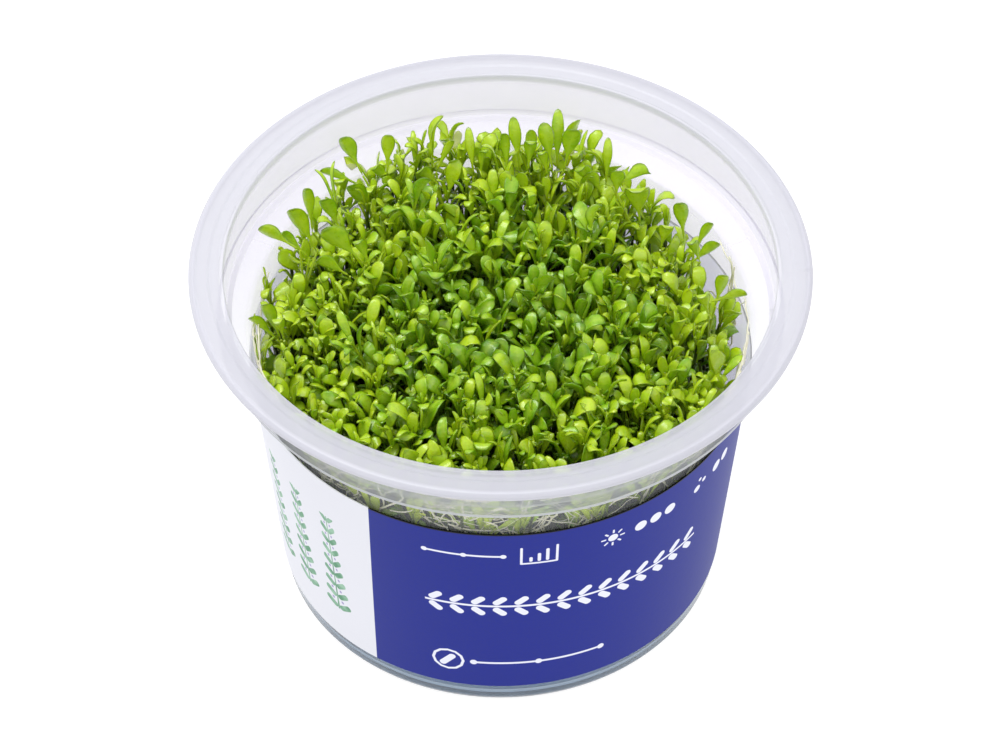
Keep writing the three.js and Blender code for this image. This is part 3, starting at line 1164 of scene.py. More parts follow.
@dataclass
class LeafHeap:
    """Many leaves, joined as one mesh.

    Attributes:
        TRAITS: The name of the attribute that holds each vertex's place on its leaf, and the leaf's tint.
        template: The leaf's topology.
        cup: The cup that they stay inside.
        points: The vertices of each leaf.
        traits: The traits of each leaf's vertices.
    """

    TRAITS = "leaf_traits"
    template: LeafTemplate
    cup: Cup
    points: list[np.ndarray] = field(default_factory=list)
    traits: list[np.ndarray] = field(default_factory=list)

    def add(self, shape: np.ndarray, place: Matrix, tint: float) -> None:
        """Adds one leaf.

        Args:
            shape: The leaf's points, from the template.
            place: Where it stands, and how it is turned.
            tint: How young it looks, with painted light for leaves near the wall, from 0 to 1.
        """
        turn = np.array(place.to_3x3())
        self.points.append(self.cup.kept_inside(shape @ turn.T + np.array(place.translation)))
        tints = np.full(len(shape), tint)
        self.traits.append(np.column_stack([self.template.across, self.template.along, tints]))

    def mesh(self, name: str) -> bpy.types.Mesh:
        """Joins the leaves.

        Args:
            name: The mesh's name.

        Returns:
            The mesh, with each vertex's place on its leaf as an attribute.
        """
        count, size = len(self.points), len(self.template.along)
        loops = (self.template.loops[None, :] + size * np.arange(count)[:, None]).ravel()
        corners = np.tile(self.template.corner_counts, count)
        mesh = bpy.data.meshes.new(name)
        mesh.vertices.add(count * size)
        mesh.vertices.foreach_set("co", np.concatenate(self.points).astype(np.float32).ravel())
        mesh.loops.add(len(loops))
        mesh.loops.foreach_set("vertex_index", loops)
        mesh.polygons.add(len(corners))
        mesh.polygons.foreach_set("loop_start", np.concatenate([[0], np.cumsum(corners)[:-1]]))
        mesh.update(calc_edges=True)
        traits = mesh.attributes.new(self.TRAITS, "FLOAT_VECTOR", "POINT")
        traits.data.foreach_set("vector", np.concatenate(self.traits).astype(np.float32).ravel())
        mesh.validate()
        return mesh


@dataclass
class Shoot:
    """One shoot: where its stem starts and ends, and its leaves.

    Attributes:
        SIZES: The length of each pair's leaves against the longest leaf's, from the tiny top pair downwards.
        LEANS: How far each pair leans out, in degrees.
        FORM_SHARES: How common each leaf form is.
        UPRIGHT: How high the top pair stands over its node, against the longest leaf's length.
        SIDES: The directions of a pair's leaves and of the small one beside them, in degrees.
        TURN_STRAY: How far a leaf strays from its direction, in degrees.
        LEAN_STRAY: How far it strays from its pair's lean, in degrees.
        BEND: How far it bends outwards, and how far it strays from that, in degrees.
        TWIST: How far it twists, in degrees.
        TINT_STRAY: How far its tint strays.
        foot: Where the stem starts.
        tip: Where the top pair of leaves ends.
        turn: The direction of the top pair, in degrees.
        leaf: The length of the longest leaf.
        width: The width of its blade.
        pairs: How many pairs of leaves it has.
        youth_and_painted_light: How much younger its leaves look than those in the middle of the mat, with
            painted light near the wall.
    """

    SIZES = (0.36, 0.95, 1.0, 0.94, 0.86, 0.78)
    LEANS = (6, 10, 20, 32, 44, 52)
    FORM_SHARES = (0.22, 0.1, 0.17, 0.35, 0.08, 0.08)
    UPRIGHT = 0.86
    SIDES = (0, 180, 80)
    TURN_STRAY = 14
    LEAN_STRAY = 8
    BEND = (18, 18)
    TWIST = 40
    TINT_STRAY = 0.19
    foot: tuple[float, float, float]
    tip: tuple[float, float, float]
    turn: float
    leaf: float
    width: float
    pairs: int = 2
    youth_and_painted_light: float = 0.1

    def stem_top(self) -> Vector:
        """Returns the point where the top pair grows."""
        return Vector((self.tip[0], self.tip[1], self.tip[2] - self.UPRIGHT * self.leaf))

    def leaf_sizes(self, pair: int, rng: np.random.Generator) -> list[float]:
        """Draws the sizes of one pair's leaves.

        Args:
            pair: The pair's number, from 0 at the tip.
            rng: The source of the sizes.

        Returns:
            The sizes of the pair and, on some nodes, of a small leaf that grows beside it.
        """
        sizes = [self.SIZES[pair] * rng.uniform(0.8, 1.08) for _ in range(2)]
        if rng.uniform() < 0.55:
            sizes.append(rng.uniform(0.3, 0.55))
        return sizes

    def stem(self, radius: float, steps: int = 6) -> Strand:
        """Makes the stem, upright at the foot and leaning over towards the top.

        Args:
            radius: Its radius, halfway up.
            steps: How many points it has.

        Returns:
            The stem.
        """
        foot, top = Vector(self.foot), self.stem_top()
        shares = np.linspace(0, 1, steps)
        sway = shares**1.6
        points = np.column_stack(
            [
                foot.x + sway * (top.x - foot.x),
                foot.y + sway * (top.y - foot.y),
                foot.z + shares * (top.z - foot.z),
            ]
        )
        return Strand(points, 1.15 * radius, 0.8 * radius)

    def grow(self, heap: LeafHeap, rng: np.random.Generator, spacing: float = 2.3) -> None:
        """Adds the shoot's leaves to a heap, from a tiny young pair at its tip downwards.

        Args:
            heap: Where the leaves go.
            rng: The source of the small differences between leaves.
            spacing: The distance between pairs along the stem.
        """
        foot, top = Vector(self.foot), self.stem_top()
        axis = (top - foot).normalized()
        lean_over = Vector((0, 0, 1)).rotation_difference(axis).to_matrix().to_4x4()
        for pair in range(self.pairs + 1):
            down = 0 if pair == 0 else 0.6 + spacing * (pair - 1)
            node = top - axis * down
            for size, side in zip(self.leaf_sizes(pair, rng), self.SIDES):
                turn = math.radians(self.turn + 90 * pair + side + rng.normal(0, self.TURN_STRAY))
                form = list(LeafForm)[rng.choice(6, p=self.FORM_SHARES)]
                shape = heap.template.shaped(
                    form,
                    self.leaf * size,
                    self.width * size * rng.uniform(0.8, 1.1),
                    math.radians(self.LEANS[pair] + rng.normal(0, self.LEAN_STRAY)),
                    math.radians(rng.normal(*self.BEND)),
                    math.radians(rng.normal(0, self.TWIST)),
                )
                place = Matrix.Translation(node) @ lean_over @ Matrix.Rotation(turn, 4, "Z")
                # Lower pairs are older and darker, and the darkening also paints the shade that falls on them
                # under the upper pairs.
                tint = 0.7 + self.youth_and_painted_light - 0.15 * pair + rng.normal(0, self.TINT_STRAY)
                heap.add(shape, place, float(np.clip(tint, 0, 1)))


@dataclass(frozen=True)
class TallLeaf:
    """One leaf that stands out above the mat, with its own place.

    Attributes:
        SLACK: Its length against the way from foot to tip, because it bends a little.
        NARROWING: The share of the width that its blade is built with, because it is hollow.
        foot: Where its blade's stalk leaves the shoot.
        tip: Where it ends.
        width: The width of its blade.
        form: The way that it is shaped.
        facing: The direction that its outer side faces, in degrees from +X.
    """

    SLACK = 1.04
    NARROWING = 0.86
    foot: tuple[float, float, float]
    tip: tuple[float, float, float]
    width: float
    form: LeafForm
    facing: float = -90.0

    def add_to(self, heap: LeafHeap, tint: float) -> None:
        """Adds the leaf to a heap.

        Args:
            heap: Where the leaf goes.
            tint: How young it looks, from 0 to 1.
        """
        foot, tip = Vector(self.foot), Vector(self.tip)
        along = (tip - foot).normalized()
        facing = math.radians(self.facing)
        out = Vector((math.cos(facing), math.sin(facing), 0))
        out = (out - out.dot(along) * along).normalized()
        turn = Matrix((out, along.cross(out), along)).transposed().to_4x4()
        length, width = self.SLACK * (tip - foot).length, self.NARROWING * self.width
        shape = heap.template.shaped(self.form, length, width, lean=0.0, bend=0.1, twist=0.0)
        heap.add(shape, Matrix.Translation(foot) @ turn, tint)


@dataclass
class TallShoots:
    """The shoots that stand above the mat, each a piece of its own.

    Attributes:
        LEAVES: The leaves of the shoots at the back and the sides, by the shoot's number.
        cup: The cup that they stay inside.
        mat_top: The height of the mat at a place.
        plans: The part's list of shoots, in its own order: foot (x, y), end of the top pair (x, y, z),
            direction of the top pair in degrees, leaf length and leaf width.
        sunk: How far under the tips of the mat the shoots start.
        longer: How long their leaves are, against the plan's.
        tints: Between which tints the leaves at the back and the sides vary.
        stalk_radii: The radius of those leaves' stems, at the foot and at the tip.
        stem_radii: The same of the other shoots' stems.
        seed: Each shoot's own seed is this and its number.
    """

    LEAVES = {
        1: (
            TallLeaf((-23.0, 30.5, 56.5), (-26.1, 32.5, 63.8), 3.3, LeafForm.BLUNT),
            TallLeaf((-19.0, 30.5, 56.5), (-18.7, 32.5, 64.3), 2.8, LeafForm.BLUNT),
            TallLeaf((-23.2, 30, 54.6), (-30.0, 31, 58.1), 2.3, LeafForm.PADDLE),
            TallLeaf((-20.3, 27, 48.2), (-24.9, 28, 58.0), 3.8, LeafForm.PADDLE),
            TallLeaf((-18.1, 31, 52.7), (-21.5, 32, 58.8), 2.6, LeafForm.HOOKED),
        ),
        2: (
            TallLeaf((-11.5, 33.5, 54.4), (-11.3, 36, 64.9), 2.6, LeafForm.FOLDED, 20),
            TallLeaf((-10.8, 32.5, 55.5), (-8.1, 34.5, 61.5), 1.7, LeafForm.PADDLE),
            TallLeaf((-11.5, 32, 55.0), (-16.3, 33, 51.4), 1.6, LeafForm.STRAP),
            TallLeaf((-10.2, 31, 53.7), (-13.8, 32, 57.4), 3.0, LeafForm.HOOKED),
        ),
        3: (
            TallLeaf((-4.5, 32, 55.0), (-5.4, 34, 63.5), 1.9, LeafForm.PADDLE, 90),
            TallLeaf((-3.3, 32, 54.6), (-3.1, 34, 60.3), 2.0, LeafForm.HOOKED, -60),
            TallLeaf((-5.8, 31, 53.7), (-8.1, 32, 59.2), 2.6, LeafForm.PADDLE),
        ),
        4: (
            TallLeaf((-0.1, 32, 54.6), (-1.6, 34, 61.5), 1.4, LeafForm.HOOKED, 180),
            TallLeaf((3.4, 33.5, 54.0), (2.1, 35.5, 64.4), 2.5, LeafForm.BLUNT, 90),
            TallLeaf((1.2, 32, 55.0), (0.6, 34, 63.8), 2.0, LeafForm.PADDLE),
            TallLeaf((4.6, 32, 56.0), (5.1, 33.5, 63.3), 2.6, LeafForm.HOOKED),
        ),
        5: (
            TallLeaf((9.5, 34.5, 53.6), (9.6, 37, 64.6), 2.5, LeafForm.PADDLE, 90),
            TallLeaf((8.8, 32.5, 55.5), (7.2, 34.5, 64.5), 3.4, LeafForm.SCOOP),
            TallLeaf((10.5, 32.5, 55.5), (12.2, 34, 64.2), 3.9, LeafForm.BLUNT),
            TallLeaf((7.9, 31, 56.0), (6.7, 32, 62.0), 2.2, LeafForm.HOOKED),
        ),
        6: (
            TallLeaf((17.6, 29.5, 55.1), (17.9, 31, 63.9), 1.9, LeafForm.PADDLE, 90),
            TallLeaf((16.3, 29, 54.7), (12.9, 30, 60.2), 3.2, LeafForm.HOOKED),
            TallLeaf((17.0, 28.5, 53.8), (14.9, 29.5, 58.9), 2.4, LeafForm.PADDLE),
        ),
        7: (
            TallLeaf((18.5, 25.5, 59.0), (24.6, 26.5, 62.2), 3.8, LeafForm.FOLDED),
            TallLeaf((23.3, 23.5, 51.7), (22.5, 25, 61.2), 5.0, LeafForm.HOOKED),
            TallLeaf((19.2, 25, 56.2), (19.5, 26, 62.3), 3.0, LeafForm.BLUNT),
        ),
        8: (
            TallLeaf((30.5, 18.6, 53.3), (29.6, 20.5, 60.7), 3.0, LeafForm.PADDLE),
            TallLeaf((26.5, 17, 52.5), (27.7, 18, 58.5), 3.0, LeafForm.HOOKED),
            TallLeaf((29.1, 18, 51.4), (26.4, 19, 56.6), 2.8, LeafForm.PADDLE),
        ),
        9: (
            TallLeaf((31.9, 14, 55.4), (34.6, 15, 61.5), 2.0, LeafForm.PADDLE),
            TallLeaf((31.3, 13, 53.2), (35.8, 14, 57.8), 2.6, LeafForm.PADDLE),
            TallLeaf((32.9, 12, 54.7), (31.1, 12.5, 60.3), 2.4, LeafForm.HOOKED),
        ),
        10: (
            TallLeaf((34.2, 1, 56.5), (40.0, 1.4, 58.9), 2.4, LeafForm.PADDLE),
            TallLeaf((35.1, 1, 55.5), (36.3, 2, 62.5), 2.6, LeafForm.PADDLE),
            TallLeaf((34.0, 0, 54.5), (32.5, 0, 60.6), 2.8, LeafForm.HOOKED),
        ),
        11: (
            TallLeaf((-27.2, 23.5, 55.2), (-29.7, 26, 62.6), 1.6, LeafForm.STRAP, 150),
            TallLeaf((-27.2, 23.5, 55.2), (-28.4, 26, 63.6), 1.6, LeafForm.STRAP, 60),
            TallLeaf((-26.6, 19, 55.1), (-29.1, 20, 62.1), 3.2, LeafForm.PADDLE),
            TallLeaf((-31.2, 19, 54.6), (-31.9, 21, 63.8), 2.3, LeafForm.PADDLE),
        ),
        12: (
            TallLeaf((-30.4, 15, 54.0), (-34.3, 16.8, 63.2), 3.6, LeafForm.PADDLE),
            TallLeaf((-33.0, 12, 57.4), (-39.3, 12.8, 62.4), 3.2, LeafForm.BLUNT),
            TallLeaf((-31.6, 13, 54.4), (-36.6, 14.6, 60.6), 2.2, LeafForm.HOOKED),
        ),
        13: (
            TallLeaf((-36.6, -1, 49.7), (-40.8, -1, 55.9), 2.4, LeafForm.PADDLE),
            TallLeaf((-36.0, -1, 49.7), (-38.4, 0, 58.0), 2.8, LeafForm.PADDLE),
            TallLeaf((-35.4, -2, 50.5), (-36.4, -3, 58.4), 2.6, LeafForm.HOOKED),
        ),
        14: (
            TallLeaf((-22.1, 10, 56.0), (-28.6, 11.5, 63.2), 5.2, LeafForm.BLUNT),
            TallLeaf((-21.4, 9, 56.7), (-23.6, 10, 63.2), 2.6, LeafForm.HOOKED),
            TallLeaf((-24.8, 9, 54.4), (-30.0, 9.6, 58.5), 3.4, LeafForm.PADDLE),
        ),
    }
    cup: Cup
    mat_top: Callable[[float, float], float]
    plans: tuple[tuple[float, ...], ...] = (
        (-20.5, 28.5, -22, 32.4, 63.6, 5, 7, 3.4),
        (-10.5, 32, -11.4, 35.8, 64.6, 70, 6.6, 2.8),
        (-4.8, 31, -5.2, 34.6, 63, 140, 4.6, 2),
        (2, 32, 2.2, 35.6, 64, 20, 5.4, 2.6),
        (9, 32, 9.4, 35.8, 65, 0, 6, 3.6),
        (17, 29, 17.7, 32, 62.6, 100, 5, 2),
        (22, 24, 23, 26.6, 61.4, 15, 7, 4.2),
        (27, 18.6, 29, 20.6, 60.6, 150, 6, 3.8),
        (31.6, 13, 34, 14.6, 60.4, 25, 5.6, 2.4),
        (34, 1, 37.6, 1.4, 58.6, 0, 5.6, 2.8),
        (-29, 19.6, -31.6, 21.8, 63.4, 85, 6, 2.5),
        (-32.6, 11, -36, 14, 62.2, 10, 6.4, 3.2),
        (-35.2, -1, -39, -2, 58.4, 170, 5.2, 2.6),
        (-25, 9.6, -27, 12, 62, 150, 7.4, 4),
        (-14, 21, -14.4, 23.4, 62.4, 40, 6, 3.2),
        (1, 21, 1.2, 23, 62.2, 10, 5.8, 3),
        (13.6, 15, 14.4, 17, 61.8, 70, 6.2, 3.3),
        (-10, 7, -10.6, 8.6, 62, 100, 6, 3.4),
        (5, 3, 5.4, 4, 61.8, 45, 5.8, 3),
        (22, -3, 23.4, -3, 60.6, 80, 6, 3.2),
        (-22, -7, -23.6, -7, 60.4, 20, 6, 3.3),
        (2.4, -14, 2.6, -14, 60.6, 160, 5.6, 3),
    )
    sunk: float = 8.0
    longer: float = 1.3
    tints: tuple[float, float] = (0.66, 1.0)
    stalk_radii: tuple[float, float] = (0.3, 0.2)
    stem_radii: tuple[float, float] = (0.34, 0.24)
    seed: int = 11

    def shoots(self) -> list[Shoot]:
        """Makes the shoots.

        Returns:
            The shoots, in the order of their CAD nodes.
        """
        made = []
        for x, y, tip_x, tip_y, tip, turn, leaf, width in self.plans:
            foot = (x, y, self.mat_top(x, y) - self.sunk)
            made.append(Shoot(foot, (tip_x, tip_y, tip), turn, self.longer * leaf, width, pairs=3))
        return made

    def stalks(self, shoot: Shoot, leaves: Sequence[TallLeaf]) -> list[Strand]:
        """Makes the thin stems that carry a shoot's leaves, from one foot.

        Args:
            shoot: The shoot.
            leaves: Its leaves.

        Returns:
            One stem for each leaf.
        """
        made = []
        for leaf in leaves:
            foot, end = np.array(shoot.foot), np.array(leaf.foot)
            shares = np.linspace(0, 1, 7)[:, None]
            level = shares**1.5
            points = foot + (end - foot) * np.concatenate([level, level, shares], axis=1)
            made.append(Strand(self.cup.kept_inside(points), *self.stalk_radii))
        return made

    def build(self, leaf: bpy.types.Material) -> None:
        """Builds each shoot, stems and leaves joined, in place of its CAD node.

        Args:
            leaf: The material of the leaves.
        """
        template = LeafTemplate(around=12, rings=12)
        for number, shoot in enumerate(self.shoots(), start=1):
            rng = np.random.default_rng(self.seed + number)
            heap = LeafHeap(template, self.cup)
            planned = self.LEAVES.get(number, ())
            if planned:
                for one in planned:
                    one.add_to(heap, float(rng.uniform(*self.tints)))
                strands = self.stalks(shoot, planned)
            else:
                shoot.grow(heap, rng)
                middle = shoot.stem(self.stem_radii[0], steps=9).points
                strands = [Strand(self.cup.kept_inside(middle), *self.stem_radii)]
            node_name = f"shoot_{number:02d}"
            mesh = joined([heap.mesh(node_name), strands_mesh("stem", strands, 1)], node_name)
            made = piece(f"tall_{node_name}", mesh, leaf, Slot.LEAVES)
            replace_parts(made, node_name)


def joined(meshes: Sequence[bpy.types.Mesh], name: str) -> bpy.types.Mesh:
    """Joins meshes into one, which keeps their attributes.

    Args:
        meshes: The meshes to join. Vertices of a mesh without an attribute get zeros.
        name: The new mesh's name.

    Returns:
        The joined mesh.
    """
    shape = bmesh.new()
    for mesh in meshes:
        shape.from_mesh(mesh)
    return mesh_of(name, shape)


@dataclass
class Mat:
    """The dome of leaves from wall to wall, with the bare stems under it.

    Attributes:
        cup: The cup that holds it.
        tip_centre: How high the leaf tips stand in the middle.
        tip_drop: How much lower they stand at the edge.
        reach: The radius where they have dropped so far.
        spacing: The distance between neighbouring shoots.
        stems_foot: Where the stems start, in the roots.
        back_rise: How much higher the tips stand at the back.
        rise_from: How far back that rise starts.
        rise_over: How much further back it is full.
        dip: How far the tips commonly stand below the dome.
        wall_rise: How much higher they stand at the wall.
        outward_from: The radius from which the shoots lean outwards more and more.
        outward_over: How much further out they lean the most.
        lean: How far a shoot leans outwards in the middle, and how much more at the wall.
        stray: How far a tip strays to the sides.
        tip_limit: The greatest radius of a tip.
        foot_limit: The greatest radius of a foot.
        leaf_length: The length of a shoot's longest leaf.
        blade_share: The width of its blade, against its length.
        pairs: How many pairs of leaves a shoot has.
        front_pairs: How many it has at the front of the wall, where they are seen from the side.
        youth_and_painted_light: How much younger and brighter the leaves are painted at the wall, for the
            light that comes in through it.
        painted_light_from: The radius from which they are painted brighter.
        painted_light_over: How much further out they are painted the brightest.
        edge: How far out the outermost shoots stand.
        old_stems: How many bare stems end under the leaves.
        old_tops: The heights between which those end.
        old_radii: Between which radii they vary at the foot.
        stem_radius: The radius of a shoot's stem.
        seed: The seed of the whole mat.
    """

    cup: Cup
    tip_centre: float = 58.6
    tip_drop: float = 5.0
    reach: float = 40.0
    spacing: float = 3.1
    stems_foot: float = 27.0
    back_rise: float = 4.5
    rise_from: float = 10.0
    rise_over: float = 22.0
    dip: float = 1.6
    wall_rise: float = 1.6
    outward_from: float = 26.0
    outward_over: float = 13.0
    lean: tuple[float, float] = (0.6, 2.2)
    stray: float = 0.9
    tip_limit: float = 41.2
    foot_limit: float = 37.4
    leaf_length: Spread = Spread(7.9, 1.4, 4.4, 10.2)
    blade_share: Spread = Spread(0.32, 0.055, 0.19, 0.45)
    pairs: int = 5
    front_pairs: int = 2
    youth_and_painted_light: float = 0.62
    painted_light_from: float = 13.0
    painted_light_over: float = 21.0
    edge: float = 39.6
    old_stems: int = 600
    old_tops: tuple[float, float] = (43.0, 51.0)
    old_radii: tuple[float, float] = (0.36, 0.5)
    stem_radius: float = 0.38
    seed: int = 7

    def top(self, x: float, y: float) -> float:
        """Works out how high the leaf tips stand.

        Args:
            x: The place in the mat, to the right of its middle.
            y: The place, behind its middle.

        Returns:
            The height of the tips.
        """
        behind = float(np.clip((y - self.rise_from) / self.rise_over, 0, 1))
        centre, half, ends = -4, 36, 14  # where the rise is across the mat, and how broad its ends are
        middle = float(np.clip((half - abs(x - centre)) / ends, 0, 1))
        dome = self.tip_centre - self.tip_drop * (x * x + y * y) / self.reach**2
        return dome + self.back_rise * behind * middle

    def reach_at(self, turn: float) -> float:
        """Works out how far out the shoots stand: less far at the right and the back left.

        Args:
            turn: The direction, in radians from +X.

        Returns:
            The radius.
        """
        right = 5.0 * max(0, math.cos(turn - 0.35)) ** 2
        back_left = 3.0 * max(0, math.cos(turn - 2.7)) ** 4
        return self.edge - right - back_left - max(0, -math.sin(turn))

    def feet(self, rng: np.random.Generator, taken: Sequence[Shoot]) -> list[tuple[float, float]]:
        """Scatters the feet of the mat's shoots evenly, clear of the tall ones.

        Args:
            rng: The source of the places.
            taken: The tall shoots.

        Returns:
            The place of each foot.
        """
        tries = 26000
        placed = [(shoot.foot[0], shoot.foot[1]) for shoot in taken]
        tall = len(placed)
        for _ in range(tries):
            turn = rng.uniform(0, 2 * math.pi)
            radius = self.reach_at(turn) * math.sqrt(rng.uniform())
            x, y = radius * math.cos(turn), radius * math.sin(turn)
            apart = self.spacing * rng.uniform(0.85, 1.1) * (1 - 0.12 * (radius / self.edge) ** 2)
            near = np.hypot(*(np.array(placed) - (x, y)).T)
            if near.min() > apart:
                placed.append((x, y))
        return placed[tall:]

    def shoots(self, rng: np.random.Generator, taken: Sequence[Shoot]) -> list[Shoot]:
        """Makes the mat's shoots, leaning outwards near the wall.

        Args:
            rng: The source of the differences between them.
            taken: The tall shoots.

        Returns:
            The shoots. Those near the wall look younger and are painted brighter, for the light that comes in
            through it, and those at its front have fewer leaves.
        """
        made = []
        for x, y in self.feet(rng, taken):
            radius = math.hypot(x, y)
            spread = max(0.0, radius - self.outward_from) / self.outward_over
            lean = self.lean[0] + self.lean[1] * spread**2
            side = rng.normal(0, self.stray, 2)
            outward = min(radius + lean, self.tip_limit) / max(radius, TINY)
            height = self.top(x, y) - abs(rng.normal(0, self.dip)) + 0.6 + self.wall_rise * spread**3
            tip = (x * outward + side[0], y * outward + side[1], height)
            leaf = self.leaf_length.draw(rng)
            width = leaf * self.blade_share.draw(rng)
            inward = min(1.0, self.foot_limit / max(radius, TINY))
            foot = (x * inward, y * inward, self.stems_foot)
            pairs = self.front_pairs if radius > 34 and y < -20 else self.pairs
            # Painted light: leaves near the wall, and more so towards the back and the left, are painted
            # brighter and yellower, for the light that comes in through the wall.
            outermost = min(1.0, max(0.0, radius - self.painted_light_from) / self.painted_light_over)
            youth_and_painted_light = (self.youth_and_painted_light - 0.001 * x + 0.004 * y) * outermost
            made.append(Shoot(foot, tip, rng.uniform(0, 360), leaf, width, pairs, youth_and_painted_light))
        return made

    def old_stem(self, rng: np.random.Generator) -> Strand:
        """Makes a bare stem that ends under the leaves.

        Args:
            rng: The source of its place and size.

        Returns:
            The stem.
        """
        turn = rng.uniform(0, 2 * math.pi)
        radius = self.reach_at(turn) * math.sqrt(rng.uniform())
        foot = np.array([radius * math.cos(turn), radius * math.sin(turn), self.stems_foot])
        lean = np.array([*rng.normal(0, 1.6, 2), rng.uniform(*self.old_tops) - self.stems_foot])
        shares = np.linspace(0, 1, 5)[:, None]
        return Strand(self.cup.kept_inside(foot + shares * lean), rng.uniform(*self.old_radii), 0.3)

    def build(self, taken: Sequence[Shoot], leaf: bpy.types.Material) -> None:
        """Builds the leaves as four quarters of the mat, and the stems under them as one piece.

        Args:
            taken: The tall shoots, which the mat's shoots stay clear of.
            leaf: The material of the leaves.
        """
        rng = np.random.default_rng(self.seed)
        template = LeafTemplate()
        quarters = {
            (False, False): "front_left",
            (True, False): "front_right",
            (False, True): "back_left",
            (True, True): "back_right",
        }
        heaps = {key: LeafHeap(template, self.cup) for key in quarters}
        shoots = self.shoots(rng, taken)
        for shoot in shoots:
            shoot.grow(heaps[(shoot.foot[0] > 0, shoot.foot[1] > 0)], rng)
        for key, corner in quarters.items():
            made = piece(f"leaves_{corner}", heaps[key].mesh(f"leaves_{corner}"), leaf, Slot.LEAVES)
            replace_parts(made, "leaf_mat")
        stem = LivingStrand(
            "stem_living", "#424c22", roughness=0.35, lit_colour="#779a1b", dark_below=45.0, lit_above=55.0
        )
        stems = [shoot.stem(self.stem_radius) for shoot in shoots]
        for strand in stems:
            strand.points = self.cup.kept_inside(strand.points)
        stems += [self.old_stem(rng) for _ in range(self.old_stems)]
        mesh = strands_mesh("stems", stems, 0)
        made = piece("bare_stems", mesh, stem.material(), Slot.STEMS)
        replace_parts(made, "stem_thicket")
        log.info("%d shoots in the mat", len(shoots))


@dataclass
class Roots:
    """Fine roots: a felt on the gel, and strands that wander up between the stems and the wall.

    Attributes:
        cup: The cup that holds them.
        felt: How many strands lie on the gel.
        tufts: How many tufts wander along the wall.
        felt_radius: How far out the felt's strands start.
        felt_heights: The heights between which they start.
        felt_step: How far apart their points are.
        felt_points: How many points they have.
        felt_radii: The radius of a strand of the felt, at its foot and at its tip.
        tuft_strands: At least how many strands a tuft has, and fewer than how many.
        tuft_points: The same for the points of such a strand.
        tuft_radii: Between which radii they vary.
        wall_heights: The heights between which the tufts start.
        wall_limits: The heights between which they stay.
        wall_step: How far apart the points of their strands are.
        nearest: How near to the wall they come.
        few_behind: The share of tufts that may start anywhere; the others start on the front half.
        seed: The seed of all the roots.
    """

    cup: Cup
    felt: int = 260
    tufts: int = 58
    felt_radius: float = 36.0
    felt_heights: tuple[float, float] = (24.2, 27.0)
    felt_step: float = 1.3
    felt_points: int = 10
    felt_radii: tuple[float, float] = (0.2, 0.12)
    tuft_strands: tuple[int, int] = (1, 7)
    tuft_points: tuple[int, int] = (7, 17)
    tuft_radii: tuple[float, float] = (0.09, 0.2)
    wall_heights: tuple[float, float] = (41.0, 52.5)
    wall_limits: tuple[float, float] = (30.0, 53.8)
    wall_step: float = 1.2
    nearest: float = 0.27
    few_behind: float = 0.12
    seed: int = 23

    def lying(self, rng: np.random.Generator) -> Strand:
        """Makes a strand that lies in the felt on the gel.

        Args:
            rng: The source of its place and bends.

        Returns:
            The strand.
        """
        radius, turn = self.felt_radius * math.sqrt(rng.uniform()), rng.uniform(0, 2 * math.pi)
        heading, height = rng.uniform(0, 2 * math.pi), rng.uniform(*self.felt_heights)
        low, high = self.felt_heights
        x, y = radius * math.cos(turn), radius * math.sin(turn)
        points = []
        for _ in range(self.felt_points):
            points.append((x, y, height))
            heading += rng.normal(0, 0.5)
            height = float(np.clip(height + rng.normal(0, 0.3), low - 0.1, high + 0.2))
            x, y = x + self.felt_step * math.cos(heading), y + self.felt_step * math.sin(heading)
            limit = self.cup.inner(height) - 0.8
            away = max(math.hypot(x, y), TINY)
            x, y = x * min(1, limit / away), y * min(1, limit / away)
        return Strand(np.array(points), *self.felt_radii)

    def tuft(self, rng: np.random.Generator) -> list[Strand]:
        """Makes a few strands that spread over the wall from one place.

        Args:
            rng: The source of its place and strands.

        Returns:
            The strands.
        """
        first = 0.0 if rng.uniform() < self.few_behind else math.pi
        turn, height = rng.uniform(first, 2 * math.pi), rng.uniform(*self.wall_heights)
        heading = rng.uniform(-math.pi, math.pi)
        return [
            self.wandering(
                rng, turn + rng.normal(0, 0.03), height + rng.normal(0, 0.6), heading + rng.normal(0, 0.6)
            )
            for _ in range(int(rng.integers(*self.tuft_strands)))
        ]

    def wandering(self, rng: np.random.Generator, turn: float, height: float, heading: float) -> Strand:
        """Makes a strand that wanders along the inside of the wall.

        Args:
            rng: The source of its bends.
            turn: Its first place round the wall, in radians.
            height: Its first height.
            heading: Its first direction, in radians from level.

        Returns:
            The strand.
        """
        depth = rng.uniform(self.nearest, 0.6)
        points = []
        for _ in range(int(rng.integers(*self.tuft_points))):
            radius = self.cup.inner(height) - depth
            points.append((radius * math.cos(turn), radius * math.sin(turn), height))
            heading += rng.normal(0, 0.36)
            turn += self.wall_step * math.cos(heading) / radius
            height = float(np.clip(height + self.wall_step * math.sin(heading), *self.wall_limits))
            depth = float(np.clip(depth + rng.normal(0, 0.12), self.nearest, 1.3))
        thickness = rng.uniform(*self.tuft_radii)
        return Strand(np.array(points), thickness, 0.7 * thickness)

    def build(self) -> bpy.types.Object:
        """Builds the roots in place of their CAD node.

        Returns:
            The roots.
        """
        rng = np.random.default_rng(self.seed)
        strands = [self.lying(rng) for _ in range(self.felt)]
        strands += [strand for _ in range(self.tufts) for strand in self.tuft(rng)]
        finish = LivingStrand("root_living", "#8a8a55", roughness=0.35, lit_colour="#fffadc", lit_above=44.0)
        mesh = strands_mesh("roots", strands, 0)
        made = piece("fine_roots", mesh, finish.material(), Slot.ROOTS)
        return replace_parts(made, "root_tangle")


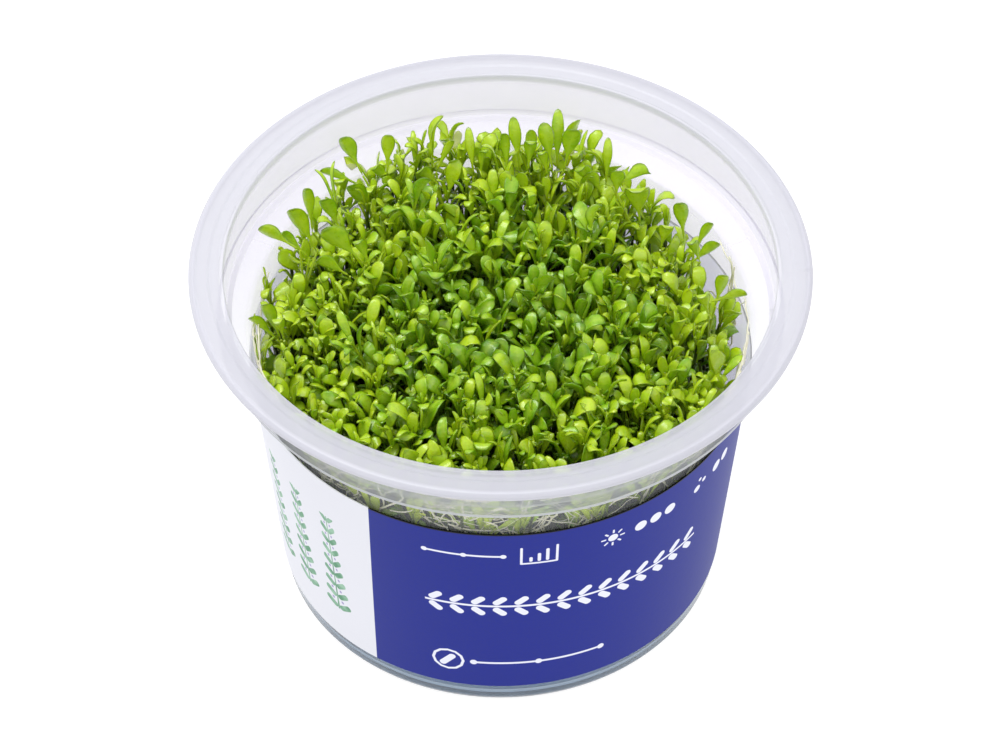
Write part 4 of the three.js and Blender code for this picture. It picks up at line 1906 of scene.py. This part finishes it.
@dataclass
class Studio:
    """The white floor, the soft lights and the camera.

    Attributes:
        elevation: How far the camera looks down, in degrees.
        back: How far the camera stands back from the rim's centre along its view, in millimetres.
        drop: How far the rim's centre stands above the middle of the picture, in millimetres.
        lens: The focal length, in millimetres.
        sensor: The width of the sensor, in millimetres.
        sky: The strength of the even light from all sides.
    """

    elevation: float = 46.491
    back: float = 808.19
    drop: float = 17.84
    lens: float = 180.0
    sensor: float = 36.0
    sky: float = 0.68

    def camera(self) -> None:
        """Stands the camera where the photograph was taken from."""
        data = bpy.data.cameras.new("camera")
        data.lens = self.lens
        data.sensor_width = self.sensor
        data.clip_start = 0.01
        data.clip_end = 20
        angle = math.radians(self.elevation)
        forward = Vector((0, math.cos(angle), -math.sin(angle)))
        upward = Vector((0, math.sin(angle), math.cos(angle)))
        rim_centre = Vector((-0.1, 0, cad_size("cup").z))
        camera = bpy.data.objects.new("camera", data)
        camera.location = (rim_centre - self.back * forward - self.drop * upward) * MM
        camera.rotation_euler = (math.pi / 2 - angle, 0, 0)
        bpy.context.scene.collection.objects.link(camera)
        bpy.context.scene.camera = camera

    def light(self, name: str, place: tuple[float, float, float], size: float, power: float) -> None:
        """Adds a square soft white light that faces the cup.

        Args:
            name: The light's name.
            place: Where it stands, in metres.
            size: The length of its side, in metres.
            power: Its power, in watts.
        """
        data = bpy.data.lights.new(name, "AREA")
        data.size = size
        data.energy = power
        made = bpy.data.objects.new(name, data)
        made.location = place
        aim = Vector((0, 0, 0.05)) - Vector(place)
        made.rotation_euler = aim.to_track_quat("-Z", "Y").to_euler()
        bpy.context.scene.collection.objects.link(made)

    def floor(self) -> None:
        """Lays the white floor just under the foot."""
        shape = bmesh.new()
        bmesh.ops.create_grid(shape, x_segments=1, y_segments=1, size=4000)
        bmesh.ops.translate(shape, verts=shape.verts, vec=(0, 0, -0.02))
        mesh = mesh_of("floor", shape)
        mesh.transform(Matrix.Scale(MM, 4))
        mesh.materials.append(StudioFloor("opal_sheet_backlit", "#8a8a8c", roughness=0.9).material())
        floor = bpy.data.objects.new("floor", mesh)
        bpy.context.scene.collection.objects.link(floor)

    def build(self) -> None:
        """Sets up the whole studio."""
        scene = bpy.context.scene
        scene.view_settings.view_transform = "Standard"
        world = bpy.data.worlds.new("studio")
        world.use_nodes = True
        background = world.node_tree.nodes["Background"]
        background.inputs["Color"].default_value = linear("#fafaff")
        background.inputs["Strength"].default_value = self.sky
        scene.world = world
        self.camera()
        self.floor()
        self.light("overhead", (-0.2, 0.1, 0.9), 0.6, 5.4)
        self.light("front_fill", (0.5, -0.9, 0.6), 0.8, 1.8)


def main() -> None:
    """Builds the plant, its cup and the studio."""
    logging.basicConfig(level=logging.INFO, format="%(name)s %(message)s")
    cup = Cup()
    cup.build()
    Label(cup).build()
    Gel(cup).build()
    Roots(cup).build()
    mat = Mat(cup)
    tall = TallShoots(cup, mat.top)
    leaf = LivingLeaf("leaf_living", "#87b907", roughness=0.32).material()
    mat.build(tall.shoots(), leaf)
    tall.build(leaf)
    Studio().build()


if __name__ == "__main__":
    main()
